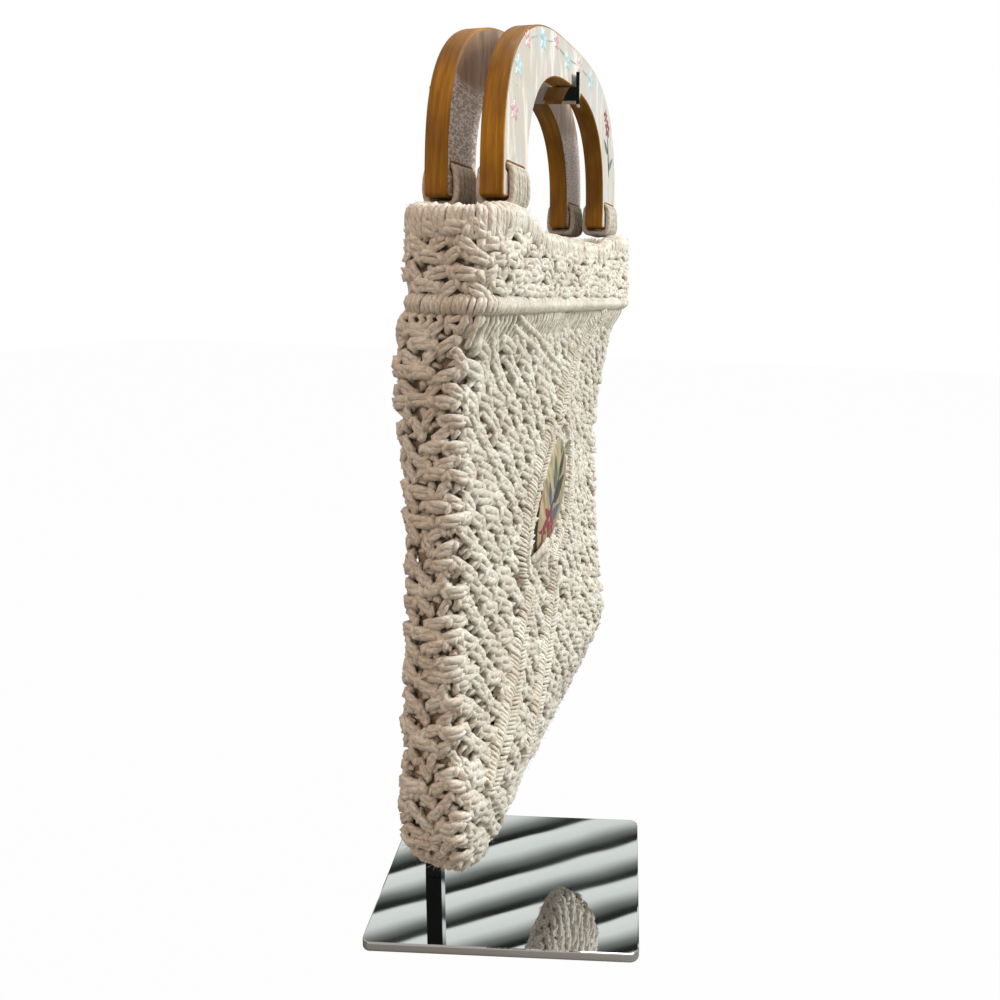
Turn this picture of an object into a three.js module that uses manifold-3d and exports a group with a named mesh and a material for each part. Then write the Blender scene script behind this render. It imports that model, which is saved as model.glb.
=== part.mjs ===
// A knotted cotton handbag with two arched wooden handles, hanging on its chrome display stand.
// Millimetres, +Z up. The origin is the middle of the base plate's underside, and the bag's front faces -Y.
import * as THREE from 'three';
import { mergeVertices } from 'three/addons/utils/BufferGeometryUtils.js';
import Module from 'manifold-3d';

const wasm = await Module();
wasm.setup();

// Driving sizes of the display stand
const plateLength = 203;
const plateWidth = 152;
const plateThickness = 7;
const plateCornerRadius = 7;
const plateEdgeRound = 1;
const tubeSide = 12.7;
const tubeWall = 1.2;
const postLeanForward = 8.3;
const postFromBackEdge = 38;
const armHeight = 9.5;
const tabHeight = 22.4;
const tabWidth = 12.7;
const tabThickness = 2.4;
const tabBelowArm = 2.2;
const standTurn = THREE.MathUtils.degToRad(12.75);

// Driving sizes of the two wooden handles
const handleWidth = 270;
const handleHeight = 121;
const handleThickness = 15;
const legWidth = 41.5;
const archBandHeight = 28.5;
const outerLegHeight = 5;
const innerLegHeight = 8;
const outerArchPower = 3;
const innerArchPower = 2.75;
const handleEdgeBevel = 1.2;
const handleGap = 18;
const backHandleTurn = THREE.MathUtils.degToRad(0.9);
const slotLength = 30;
const slotFromInnerEdge = 6;
const slotAboveLegEnd = 15.5;
const legEnd = 533;
const handlesAheadOfPlateMiddle = 17.5;
const handlesBesidePlateMiddle = 5.2;

// Driving sizes of the knotted bag
const bagLength = 344;
const bandDepth = 53;
const bandCornerRadius = 10;
const bodyHeight = 351;
const wallThickness = 6;
const lowerCornerRadius = 62;
const ridgeHeight = 9.5;
const ridgeDepth = 10;
const rimHeight = 14;
const rimDepth = 9;
const bandHeight = 26;
const mouthDip = 12;
const mouthDipHalfLength = 62;
const mouthDipSlope = 36;
const bandCentreOffset = -4;
const hangTilt = THREE.MathUtils.degToRad(1.8);
const gap = 0.3;

// Driving sizes of the cord loops, ribs and medallion
const loopThickness = 4.5;
const loopStrands = 5;
const ribWidth = 9;
const ribHeight = 3.6;
const medallionLength = 97;
const medallionWidth = 52;
const medallionThickness = 6.5;
const medallionNearBulge = 0.35;
const medallionFromMiddle = -12;
const medallionLean = THREE.MathUtils.degToRad(35);

// Sections of the body: height as a share of bodyHeight, front and back reach as shares of bandDepth
// (reach is measured from the plane midway between the handles).
const bodySections = [
  { height: 0.000, front: 0.10, back: 0.22 },
  { height: 0.010, front: 0.17, back: 0.31 },
  { height: 0.030, front: 0.22, back: 0.38 },
  { height: 0.065, front: 0.27, back: 0.43 },
  { height: 0.120, front: 0.34, back: 0.46 },
  { height: 0.175, front: 0.38, back: 0.45 },
  { height: 0.225, front: 0.34, back: 0.44 },
  { height: 0.280, front: 0.27, back: 0.43 },
  { height: 0.350, front: 0.25, back: 0.41 },
  { height: 0.450, front: 0.24, back: 0.39 },
  { height: 0.620, front: 0.24, back: 0.40 },
  { height: 0.760, front: 0.24, back: 0.46 },
  { height: 0.860, front: 0.26, back: 0.54 },
  { height: 0.930, front: 0.30, back: 0.53 },
  { height: 0.978, front: 0.38, back: 0.50 },
  { height: 1.000, front: 0.55, back: 0.42 },
];

// Routes of the raised ribs on the front, as shares of half of bagLength (x) and of bodyHeight (z)
const ribRoutes = {
  rib_upper_far: [[0.60, 0.985], [0.42, 0.930], [0.24, 0.865], [0.10, 0.800], [0.03, 0.750]],
  rib_upper_near: [[-0.62, 0.985], [-0.40, 0.950], [-0.16, 0.905], [0.06, 0.872]],
  rib_frame_near: [[-0.07, 0.748], [-0.19, 0.680], [-0.30, 0.595], [-0.37, 0.510], [-0.34, 0.452]],
  rib_frame_far: [[0.13, 0.752], [0.26, 0.700], [0.28, 0.610], [0.19, 0.520], [-0.02, 0.450]],
  rib_lower_near: [[-0.27, 0.425], [-0.42, 0.360], [-0.52, 0.290], [-0.68, 0.220], [-0.82, 0.160]],
  rib_lower_far: [[0.06, 0.425], [0.02, 0.350], [-0.08, 0.270], [-0.24, 0.190], [-0.42, 0.120]],
};

// Places worked out from the driving sizes
const halfBag = bagLength / 2;
const handleTop = legEnd + handleHeight;
const handleApex = handleTop - archBandHeight;
const slotFloor = legEnd + slotAboveLegEnd;
const slotHeight = loopThickness + 2 * gap;
const slotMiddle = handleWidth / 2 - legWidth + slotFromInnerEdge + slotLength / 2;
const loopBottom = legEnd - gap - loopThickness;
const mouthTop = loopBottom - gap;
const ridgeTop = mouthTop - mouthDip - rimHeight - 2 * gap - bandHeight;
const ridgeBottom = ridgeTop - ridgeHeight;
const bodyTop = ridgeBottom - gap;
const bodyBottom = bodyTop - bodyHeight;

const archDrop = (x) => {
  const halfSpan = handleWidth / 2 - legWidth;
  const rise = handleHeight - archBandHeight - innerLegHeight;
  return rise * (1 - (1 - Math.abs(x / halfSpan) ** innerArchPower) ** (1 / innerArchPower));
};
const frontFaceReach = handlesAheadOfPlateMiddle + handleGap / 2 + handleThickness;
const armReach = frontFaceReach / Math.cos(standTurn) + (tabWidth / 2) * Math.tan(standTurn) + gap;
const armAcross = frontFaceReach * Math.tan(standTurn) + tubeSide / 2 / Math.cos(standTurn)
  - handlesBesidePlateMiddle;
const armTop = handleApex - archDrop(armAcross) - armAcross * Math.tan(hangTilt) - gap;
const pivot = new THREE.Vector3(0, 0, armTop);

// Materials, one for each finish
const finishes = {
  chrome: new THREE.MeshStandardMaterial({ color: 0xc9ccd0, roughness: 0.08, metalness: 1 }),
  wood: new THREE.MeshStandardMaterial({ color: 0x8a5a1c, roughness: 0.32, metalness: 0 }),
  painted: new THREE.MeshStandardMaterial({ color: 0xe2d9c0, roughness: 0.25, metalness: 0 }),
  cotton: new THREE.MeshStandardMaterial({ color: 0xe6dac8, roughness: 0.95, metalness: 0 }),
};

function named(name, geometry, finish) {
  const mesh = new THREE.Mesh(geometry, finishes[finish]);
  mesh.name = name;
  return mesh;
}

function closedGeometry(positions, indices) {
  const geometry = new THREE.BufferGeometry();
  geometry.setAttribute('position', new THREE.Float32BufferAttribute(positions, 3));
  geometry.setIndex(indices);
  return geometry;
}

// Booleans, for the parts that are welded or drilled
function solidOf(geometry) {
  const bare = geometry.clone();
  bare.deleteAttribute('normal');
  bare.deleteAttribute('uv');
  const merged = mergeVertices(bare, 1e-4);
  return new wasm.Manifold(new wasm.Mesh({
    numProp: 3,
    vertProperties: new Float32Array(merged.attributes.position.array),
    triVerts: new Uint32Array(merged.index.array),
  }));
}

function geometryOf(solid) {
  const mesh = solid.getMesh();
  return closedGeometry(Array.from(mesh.vertProperties), Array.from(mesh.triVerts));
}

function boxAt(sizeX, sizeY, sizeZ, x, y, z) {
  return new THREE.BoxGeometry(sizeX, sizeY, sizeZ).translate(x, y, z);
}

// The base plate: a steel plate with rounded corners, chromed all over
function basePlate() {
  const x = plateWidth / 2;
  const y = plateLength / 2;
  const r = plateCornerRadius;
  const outline = new THREE.Shape();
  outline.moveTo(-x + r, -y);
  outline.lineTo(x - r, -y);
  outline.absarc(x - r, -y + r, r, -Math.PI / 2, 0);
  outline.absarc(x - r, y - r, r, 0, Math.PI / 2);
  outline.absarc(-x + r, y - r, r, Math.PI / 2, Math.PI);
  outline.absarc(-x + r, -y + r, r, Math.PI, 1.5 * Math.PI);
  return new THREE.ExtrudeGeometry(outline, {
    depth: plateThickness - 2 * plateEdgeRound,
    bevelThickness: plateEdgeRound,
    bevelSize: plateEdgeRound,
    bevelOffset: -plateEdgeRound,
    bevelSegments: 2,
    curveSegments: 6,
  }).translate(0, 0, plateEdgeRound);
}

// The upright: a square tube, open where it stands on the plate, with the arm and its end tab welded on
function upright() {
  const postY = plateLength / 2 - postFromBackEdge;
  const postTopY = postY - postLeanForward;
  const foot = plateThickness + gap;
  const tall = armTop - foot;
  const lean = new THREE.Matrix4().makeShear(0, 0, 0, 0, 0, -postLeanForward / tall);
  const leaning = (side, low, high) =>
    solidOf(boxAt(side, side, high - low, 0, 0, (low + high) / 2).applyMatrix4(lean).translate(0, postY, foot));
  const tube = leaning(tubeSide, 0, tall);
  const bore = leaning(tubeSide - 2 * tubeWall, -tubeWall, tall - 3 * tubeWall);
  const armLength = postTopY + armReach - tubeSide / 4;
  const arm = solidOf(boxAt(tubeSide, armLength, armHeight,
    0, postTopY - tubeSide / 4 - armLength / 2, armTop - armHeight / 2));
  const tab = solidOf(boxAt(tabWidth, tabThickness, tabHeight,
    0, -armReach - tabThickness / 2, armTop - armHeight - tabBelowArm + tabHeight / 2));
  return geometryOf(tube.subtract(bore).add(arm).add(tab));
}

// A handle: an arched board with a level foot on each leg and a slot for the cords near each foot
function handleGeometry() {
  const halfWidth = handleWidth / 2;
  const halfSpan = halfWidth - legWidth;
  const footRound = 2.5;
  const outline = new THREE.Shape();
  const arch = (halfSize, foot, rise, power, from, to, steps) => {
    for (let i = 0; i <= steps; i += 1) {
      const angle = from + ((to - from) * i) / steps;
      const x = halfSize * Math.sign(Math.cos(angle)) * Math.abs(Math.cos(angle)) ** (2 / power);
      outline.lineTo(x, foot + rise * Math.abs(Math.sin(angle)) ** (2 / power));
    }
  };
  outline.moveTo(halfSpan + footRound, legEnd);
  outline.lineTo(halfWidth - footRound, legEnd);
  outline.quadraticCurveTo(halfWidth, legEnd, halfWidth, legEnd + footRound);
  arch(halfWidth, legEnd + outerLegHeight, handleHeight - outerLegHeight, outerArchPower, 0, Math.PI, 40);
  outline.lineTo(-halfWidth, legEnd + footRound);
  outline.quadraticCurveTo(-halfWidth, legEnd, -halfWidth + footRound, legEnd);
  outline.lineTo(-halfSpan - footRound, legEnd);
  outline.quadraticCurveTo(-halfSpan, legEnd, -halfSpan, legEnd + footRound);
  arch(halfSpan, legEnd + innerLegHeight, handleHeight - archBandHeight - innerLegHeight,
    innerArchPower, Math.PI, 0, 32);
  outline.lineTo(halfSpan, legEnd + footRound);
  outline.quadraticCurveTo(halfSpan, legEnd, halfSpan + footRound, legEnd);
  for (const side of [-1, 1]) {
    const r = slotHeight / 2;
    const slot = new THREE.Path();
    const z = slotFloor + r;
    slot.absarc(side * slotMiddle + slotLength / 2 - r / 2, z, r, -Math.PI / 2, Math.PI / 2);
    slot.absarc(side * slotMiddle - slotLength / 2 + r / 2, z, r, Math.PI / 2, 1.5 * Math.PI);
    outline.holes.push(slot);
  }
  return new THREE.ExtrudeGeometry(outline, {
    depth: handleThickness - 2 * handleEdgeBevel,
    bevelThickness: handleEdgeBevel,
    bevelSize: handleEdgeBevel,
    bevelOffset: -handleEdgeBevel,
    bevelSegments: 1,
    curveSegments: 4,
  }).rotateX(Math.PI / 2).translate(0, handleThickness / 2 - handleEdgeBevel, 0);
}

// A loop of cords through a handle's slot and round its foot: one wound body with a strand's round on each lane
function cordLoop(middleX) {
  const inX = slotLength / 2 - 0.6;
  const inY = handleThickness / 2 + gap;
  const low = legEnd - gap;
  const high = slotFloor + gap;
  const path = [];
  const corner = (y, z, from) => {
    for (let i = 0; i <= 3; i += 1) {
      const angle = from + (i * Math.PI) / 6;
      path.push({ y, z, ny: Math.cos(angle), nz: Math.sin(angle) });
    }
  };
  corner(inY, high, 0);
  corner(-inY, high, Math.PI / 2);
  corner(-inY, low, Math.PI);
  corner(inY, low, 1.5 * Math.PI);
  const section = [];
  for (let i = 0; i <= loopStrands * 2; i += 1) {
    const lane = i % 2 ? 1 : 0.62;
    section.push({ x: -inX + (i * inX) / loopStrands, out: loopThickness * lane });
  }
  section.push({ x: inX, out: 0 }, { x: -inX, out: 0 });
  const positions = [];
  const indices = [];
  for (const p of path) {
    for (const s of section) {
      positions.push(middleX + s.x, p.y + p.ny * s.out, p.z + p.nz * s.out);
    }
  }
  const rows = path.length;
  const lanes = section.length;
  for (let i = 0; i < rows; i += 1) {
    for (let j = 0; j < lanes; j += 1) {
      const a = i * lanes + j;
      const b = i * lanes + ((j + 1) % lanes);
      const c = ((i + 1) % rows) * lanes + ((j + 1) % lanes);
      const d = ((i + 1) % rows) * lanes + j;
      indices.push(a, c, b, a, d, c);
    }
  }
  return closedGeometry(positions, indices);
}

// A level ring seen from above: a long rectangle with round corners, run anticlockwise from the front left
const sideSteps = 14;
const endSteps = 3;
const cornerSteps = 4;
function ringPoints(halfLength, front, back, radius) {
  const r = Math.max(0.5, Math.min(radius, (front + back) / 2 - 0.4, halfLength - 1));
  const points = [];
  const straight = (x0, y0, x1, y1, steps) => {
    for (let i = 0; i < steps; i += 1) {
      points.push([x0 + ((x1 - x0) * i) / steps, y0 + ((y1 - y0) * i) / steps]);
    }
  };
  const arc = (x, y, from) => {
    for (let i = 0; i < cornerSteps; i += 1) {
      const angle = from + (i * Math.PI) / 2 / cornerSteps;
      points.push([x + r * Math.cos(angle), y + r * Math.sin(angle)]);
    }
  };
  const L = halfLength;
  straight(-L + r, -front, L - r, -front, sideSteps);
  arc(L - r, -front + r, -Math.PI / 2);
  straight(L, -front + r, L, back - r, endSteps);
  arc(L - r, back - r, 0);
  straight(L - r, back, -L + r, back, sideSteps);
  arc(-L + r, back - r, Math.PI / 2);
  straight(-L, back - r, -L, -front + r, endSteps);
  arc(-L + r, -front + r, Math.PI);
  return points;
}

// Joins rows of points, each one ring, into a surface; the rows run up the outside
function ringSurface(rows, closeRows) {
  const positions = rows.flat(2);
  const indices = [];
  const n = rows[0].length;
  const last = closeRows ? rows.length : rows.length - 1;
  for (let i = 0; i < last; i += 1) {
    for (let j = 0; j < n; j += 1) {
      const a = i * n + j;
      const b = i * n + ((j + 1) % n);
      const c = ((i + 1) % rows.length) * n + ((j + 1) % n);
      const d = ((i + 1) % rows.length) * n + j;
      indices.push(a, b, c, a, c, d);
    }
  }
  return { positions, indices };
}

// The lower corners are round, so a section's half length follows an arc there
function halfLengthAt(above) {
  const rise = Math.min(above, lowerCornerRadius);
  const inset = lowerCornerRadius - Math.sqrt(lowerCornerRadius ** 2 - (lowerCornerRadius - rise) ** 2);
  return halfBag - 2 - inset;
}

// The body: a hollow knotted pocket, open at the top, with round lower corners and a slack front
function bagBody() {
  const outer = bodySections.map((s) => {
    const above = s.height * bodyHeight;
    const half = halfLengthAt(above);
    const ring = ringPoints(half, s.front * bandDepth, s.back * bandDepth, bandCornerRadius);
    return ring.map(([x, y]) => [x, y, bodyBottom + above]);
  });
  const innerSections = bodySections.filter((s) => s.height > 0.02).reverse();
  const inner = innerSections.map((s, i) => {
    const above = s.height * bodyHeight;
    const half = halfLengthAt(above) - wallThickness;
    const ring = ringPoints(half, s.front * bandDepth - wallThickness, s.back * bandDepth - wallThickness,
      bandCornerRadius - wallThickness);
    return ring.map(([x, y]) => [x, y, bodyBottom + above]);
  });
  const { positions, indices } = ringSurface([...outer, ...inner], false);
  const n = outer[0].length;
  const rowCount = outer.length + inner.length;
  const capRow = (row, flip) => {
    const ring = [];
    for (let j = 0; j < n; j += 1) {
      ring.push(new THREE.Vector2(positions[3 * (row * n + j)], positions[3 * (row * n + j) + 1]));
    }
    for (const [a, b, c] of THREE.ShapeUtils.triangulateShape(ring, [])) {
      const base = row * n;
      indices.push(base + a, base + (flip ? c : b), base + (flip ? b : c));
    }
  };
  capRow(0, true);
  capRow(rowCount - 1, false);
  return closedGeometry(positions, indices);
}

// How far the body's front stands out at a height, between its sections
function frontReach(z) {
  const share = THREE.MathUtils.clamp((z - bodyBottom) / bodyHeight, 0, 1);
  const above = bodySections.findIndex((s) => s.height >= share);
  const b = bodySections[Math.max(above, 1)];
  const a = bodySections[Math.max(above, 1) - 1];
  const t = (share - a.height) / (b.height - a.height);
  return bandDepth * (a.front + (b.front - a.front) * t);
}

// The mouth's edge dips in the middle and is drawn up where the handles hang
function mouthEdge(x) {
  const lift = THREE.MathUtils.smoothstep(Math.abs(x), mouthDipHalfLength,
    mouthDipHalfLength + mouthDipSlope);
  return mouthTop - mouthDip * (1 - lift);
}

// A ring of the mouth: its outline in section is given as steps inward and heights for a place along the bag
function mouthRing(sectionAt) {
  const steps = sectionAt(0).length;
  const front = bandDepth / 2 - bandCentreOffset;
  const back = bandDepth / 2 + bandCentreOffset;
  const rows = [];
  for (let i = 0; i < steps; i += 1) {
    const guide = ringPoints(halfBag, front, back, bandCornerRadius);
    const inward = sectionAt(0)[i].inward;
    const ring = ringPoints(halfBag - inward, front - inward, back - inward, bandCornerRadius - inward);
    rows.push(ring.map(([x, y], j) => [x, y, sectionAt(guide[j][0])[i].z]));
  }
  const { positions, indices } = ringSurface(rows, true);
  return closedGeometry(positions, indices);
}

// A rounded roll in section, with its outer side first and running up
function rollSection(low, high, inset, depth) {
  const middle = (low + high) / 2;
  const half = (high - low) / 2;
  const section = [];
  for (let i = 0; i < 8; i += 1) {
    const angle = -Math.PI * 0.5 + (i * Math.PI) / 4 + Math.PI / 8;
    const across = Math.cos(angle) / Math.cos(Math.PI / 8);
    const up = Math.sin(angle) / Math.cos(Math.PI / 8);
    section.push({ inward: inset + (depth / 2) * (1 - across), z: middle + half * up });
  }
  return section;
}

// The ridge: a thick roll of hitches over a holding cord, all round the bag
function lowerRidge() {
  return mouthRing(() => rollSection(ridgeBottom, ridgeTop, 0, ridgeDepth));
}

// The band between the two ridges
function topBand() {
  const inset = 1.6;
  return mouthRing((x) => [
    { inward: inset, z: ridgeTop + gap },
    { inward: inset, z: mouthEdge(x) - rimHeight - gap },
    { inward: inset + wallThickness, z: mouthEdge(x) - rimHeight - gap },
    { inward: inset + wallThickness, z: ridgeTop + gap },
  ]);
}

// The rim: the cords wrap over the mouth's edge here
function mouthRim() {
  return mouthRing((x) => rollSection(mouthEdge(x) - rimHeight, mouthEdge(x), 0.6, rimDepth));
}

// A raised rib of hitches that lies on the front, along a route
function frontRib(route) {
  const curve = new THREE.CatmullRomCurve3(route.map(([x, z]) =>
    new THREE.Vector3(x * halfBag, 0, bodyBottom + z * bodyHeight)));
  const stations = 10;
  const sides = 8;
  const positions = [];
  const indices = [];
  for (let i = 0; i <= stations; i += 1) {
    const p = curve.getPoint(i / stations);
    const t = curve.getTangent(i / stations);
    const across = new THREE.Vector3(t.z, 0, -t.x).normalize();
    const taper = 0.45 + 0.55 * Math.sin(Math.PI * Math.min(1, Math.max(0, i / stations))) ** 0.5;
    const half = (ribWidth / 2) * taper;
    const reach = Math.max(frontReach(p.z - half), frontReach(p.z), frontReach(p.z + half)) + gap;
    for (let j = 0; j < sides; j += 1) {
      const angle = (j * 2 * Math.PI) / sides + Math.PI / sides;
      const out = reach + (ribHeight / 2) * (1 + Math.sin(angle) / Math.cos(Math.PI / sides));
      const side = half * Math.cos(angle);
      positions.push(p.x + across.x * side, -out, p.z + across.z * side);
    }
  }
  for (let i = 0; i < stations; i += 1) {
    for (let j = 0; j < sides; j += 1) {
      const a = i * sides + j;
      const b = i * sides + ((j + 1) % sides);
      indices.push(a, b + sides, b, a, a + sides, b + sides);
    }
  }
  for (let j = 1; j < sides - 1; j += 1) {
    indices.push(0, j, j + 1);
    const e = stations * sides;
    indices.push(e, e + j + 1, e + j);
  }
  return closedGeometry(positions, indices);
}

// The medallion: a thin leaf of painted wood, round at the top and drawn to a point at its lower near end
function medallion() {
  const around = 28;
  const rings = [
    { scale: 1.0, out: 0 },
    { scale: 1.0, out: 0.42 },
    { scale: 0.93, out: 0.72 },
    { scale: 0.72, out: 0.92 },
    { scale: 0.40, out: 1.0 },
  ];
  const middleZ = bodyBottom + 0.6 * bodyHeight;
  const back = frontReach(middleZ) + gap;
  const positions = [];
  const indices = [];
  for (const ring of rings) {
    for (let j = 0; j < around; j += 1) {
      const angle = (j * 2 * Math.PI) / around;
      const along = (medallionLength / 2) * Math.sin(angle);
      const cosine = Math.cos(angle);
      const bulge = cosine < 0 ? -medallionNearBulge : 1 - medallionNearBulge;
      const across = medallionWidth * bulge * Math.abs(cosine) ** 1.2 * (1 + 0.2 * Math.sin(angle));
      const x = ring.scale * (across * Math.cos(medallionLean) + along * Math.sin(medallionLean));
      const z = ring.scale * (along * Math.cos(medallionLean) - across * Math.sin(medallionLean));
      positions.push(medallionFromMiddle + x, -back - medallionThickness * ring.out, middleZ + z);
    }
  }
  for (let i = 0; i < rings.length - 1; i += 1) {
    for (let j = 0; j < around; j += 1) {
      const a = i * around + j;
      const b = i * around + ((j + 1) % around);
      indices.push(a, b, b + around, a, b + around, a + around);
    }
  }
  const top = (rings.length - 1) * around;
  for (let j = 1; j < around - 1; j += 1) {
    indices.push(0, j + 1, j);
    indices.push(top, top + j, top + j + 1);
  }
  return closedGeometry(positions, indices);
}

// Assembly: the stand is turned under the bag, and what hangs on its arm is tilted about the arm
const stand = new THREE.Group();
stand.rotation.z = standTurn;
stand.add(named('stand_plate', basePlate(), 'chrome'));
stand.add(named('stand_upright', upright(), 'chrome'));

const hanging = new THREE.Group();
hanging.position.copy(pivot);
hanging.rotation.y = hangTilt;
const hung = new THREE.Group();
hung.position.set(handlesBesidePlateMiddle, -handlesAheadOfPlateMiddle, -pivot.z);
hanging.add(hung);

for (const [side, facing] of [['front', -1], ['back', 1]]) {
  const pair = new THREE.Group();
  pair.position.y = (facing * (handleGap + handleThickness)) / 2;
  pair.rotation.z = facing > 0 ? -backHandleTurn : 0;
  pair.add(named(`handle_${side}`, handleGeometry(), 'wood'));
  pair.add(named(`cord_loops_${side}_near`, cordLoop(-slotMiddle), 'cotton'));
  pair.add(named(`cord_loops_${side}_far`, cordLoop(slotMiddle), 'cotton'));
  hung.add(pair);
}
hung.add(named('bag_body', bagBody(), 'cotton'));
hung.add(named('lower_ridge', lowerRidge(), 'cotton'));
hung.add(named('top_band', topBand(), 'cotton'));
hung.add(named('mouth_rim', mouthRim(), 'cotton'));
for (const [name, route] of Object.entries(ribRoutes)) {
  hung.add(named(name, frontRib(route), 'cotton'));
}
hung.add(named('medallion', medallion(), 'painted'));

const handbag = new THREE.Group();
handbag.add(stand, hanging);
export default handbag;
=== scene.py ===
# A handbag of knotted cotton cord with painted wooden handles, hung on its chrome display stand.
import math

import bmesh
import bpy
import numpy as np
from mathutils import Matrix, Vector


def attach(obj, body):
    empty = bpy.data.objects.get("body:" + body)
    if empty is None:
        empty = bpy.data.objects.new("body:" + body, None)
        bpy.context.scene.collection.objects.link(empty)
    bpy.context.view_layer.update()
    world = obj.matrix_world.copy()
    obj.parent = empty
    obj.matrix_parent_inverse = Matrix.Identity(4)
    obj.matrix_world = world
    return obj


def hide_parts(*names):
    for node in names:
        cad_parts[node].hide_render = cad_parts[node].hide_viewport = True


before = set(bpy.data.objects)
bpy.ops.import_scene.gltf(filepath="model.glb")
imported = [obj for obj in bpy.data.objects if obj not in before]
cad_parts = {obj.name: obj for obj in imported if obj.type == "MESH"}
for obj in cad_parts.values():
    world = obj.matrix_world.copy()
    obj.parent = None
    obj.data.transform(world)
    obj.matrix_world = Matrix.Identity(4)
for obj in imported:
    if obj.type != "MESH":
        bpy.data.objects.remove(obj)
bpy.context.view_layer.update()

# The studio. A white table and a white room, lit by a broad soft lamp before the bag's front, a weaker one
# overhead and a warm weak one at its near end. A slatted blind, a black and a grey cloth show only in the chrome.
MM = 0.001


def linear(hex_colour):
    """An sRGB hex colour as linear red, green, blue and alpha."""
    parts = [int(hex_colour[i:i + 2], 16) / 255 for i in (0, 2, 4)]
    return tuple(c / 12.92 if c <= 0.04045 else ((c + 0.055) / 1.055) ** 2.4 for c in parts) + (1.0,)


def add(tree, kind, inputs=None, **settings):
    """Adds a node with its settings, and sets or links its inputs."""
    new = tree.nodes.new(kind)
    for key, value in settings.items():
        setattr(new, key, value)
    for socket, value in (inputs or {}).items():
        if isinstance(value, bpy.types.NodeSocket):
            tree.links.new(value, new.inputs[socket])
        else:
            new.inputs[socket].default_value = value
    return new


def start_material(name):
    """A new material with an empty tree."""
    material = bpy.data.materials.new(name)
    material.use_nodes = True
    material.node_tree.nodes.clear()
    return material, material.node_tree


camera = bpy.data.objects.new("camera", bpy.data.cameras.new("camera"))
bpy.context.scene.collection.objects.link(camera)
camera.data.sensor_width = 36
camera.data.lens = 30.92
camera.data.shift_x = -0.095
camera.data.shift_y = -0.13
camera.location = (-0.60526, -0.22388, 0.49746)
camera.rotation_euler = [math.radians(a) for a in (83.1433, -0.8333, -74.9821)]
bpy.context.scene.camera = camera
bpy.context.scene.view_settings.view_transform = "Standard"

table_paint, tree = start_material("table_sweep_paint")
seen = add(tree, "ShaderNodeLightPath")
grain = add(tree, "ShaderNodeTexNoise", {"Scale": 3.0, "Detail": 1.0})
pale = add(tree, "ShaderNodeMix", {0: grain.outputs["Fac"], 6: linear("88857f"), 7: linear("817e77")},
           data_type="RGBA")
shade = add(tree, "ShaderNodeBsdfDiffuse", {"Color": pale.outputs[2]})
glow = add(tree, "ShaderNodeEmission", {"Color": (1, 1, 1, 1), "Strength": 1.0})
WHITE_SHARE = 0.985
lift = add(tree, "ShaderNodeMath", {0: seen.outputs["Is Camera Ray"], 1: WHITE_SHARE}, operation="MULTIPLY")
both = add(tree, "ShaderNodeMixShader", {0: lift.outputs[0], 1: shade.outputs[0], 2: glow.outputs[0]})
add(tree, "ShaderNodeOutputMaterial", {"Surface": both.outputs[0]})
bpy.ops.mesh.primitive_plane_add(size=8, location=(0, 0, 0))
floor = bpy.context.object
floor.name = "floor"
floor.data.materials.append(table_paint)

blind_cloth, tree = start_material("slatted_blind")
place = add(tree, "ShaderNodeSeparateXYZ", {0: add(tree, "ShaderNodeTexCoord").outputs["Object"]})
drift = add(tree, "ShaderNodeTexNoise", {"Scale": 0.9, "Detail": 0.0})
slope = add(tree, "ShaderNodeMath", {0: place.outputs[0], 1: 0.24, 2: place.outputs[1]}, operation="MULTIPLY_ADD")
bent = add(tree, "ShaderNodeMath", {0: drift.outputs["Fac"], 1: 0.10, 2: slope.outputs[0]},
           operation="MULTIPLY_ADD")
SLAT_PITCH = 0.098
slats = add(tree, "ShaderNodeMath", {0: bent.outputs[0], 1: 1 / SLAT_PITCH}, operation="MULTIPLY")
saw = add(tree, "ShaderNodeMath", {0: slats.outputs[0]}, operation="FRACT")
tone = add(tree, "ShaderNodeValToRGB", {"Fac": saw.outputs[0]})
tone.color_ramp.elements[0].color = linear("0a0d0b")
tone.color_ramp.elements[1].color = linear("0a0d0b")
for at, colour in ((0.05, "eef3ec"), (0.38, "e2e7e0"), (0.66, "7e827c"), (0.86, "2c302d")):
    tone.color_ramp.elements.new(at).color = linear(colour)
glow = add(tree, "ShaderNodeEmission", {"Color": tone.outputs[0], "Strength": 1.0})
add(tree, "ShaderNodeOutputMaterial", {"Surface": glow.outputs[0]})
cloths = []
for name, low, high in (("black_cloth", "1d1f1d", "282b29"), ("grey_cloth", "625e59", "6d6964")):
    cloth, tree = start_material(name)
    nap = add(tree, "ShaderNodeTexNoise", {"Scale": 400.0, "Detail": 1.0})
    dark = add(tree, "ShaderNodeMix", {0: nap.outputs["Fac"], 6: linear(low), 7: linear(high)}, data_type="RGBA")
    shade = add(tree, "ShaderNodeBsdfDiffuse", {"Color": dark.outputs[2]})
    add(tree, "ShaderNodeOutputMaterial", {"Surface": shade.outputs[0]})
    cloths.append(cloth)
for name, place, aim, wide, tall, finish in (
    ("blind", (1.75, 0.53, 1.43), (0, 0, 0), 3.4, 2.6, blind_cloth),
    ("cloth_behind", (-2.6, -0.6, 1.6), (0, -0.2, 1.0), 3.0, 2.2, cloths[0]),
    ("cloth_below", (-0.5512, 0.0, 0.0006), (-0.5512, 0.0, 1.0), 0.9, 0.9, cloths[1]),
):
    bpy.ops.mesh.primitive_plane_add(size=1, location=place)
    card = bpy.context.object
    card.name = name
    card.rotation_euler = (Vector(aim) - Vector(place)).to_track_quat("Z", "Y").to_euler()
    card.scale = (wide, tall, 1)
    bpy.ops.object.transform_apply(location=False, rotation=False, scale=True)
    card.data.materials.append(finish)
    card.visible_camera = card.visible_diffuse = card.visible_shadow = False

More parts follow.
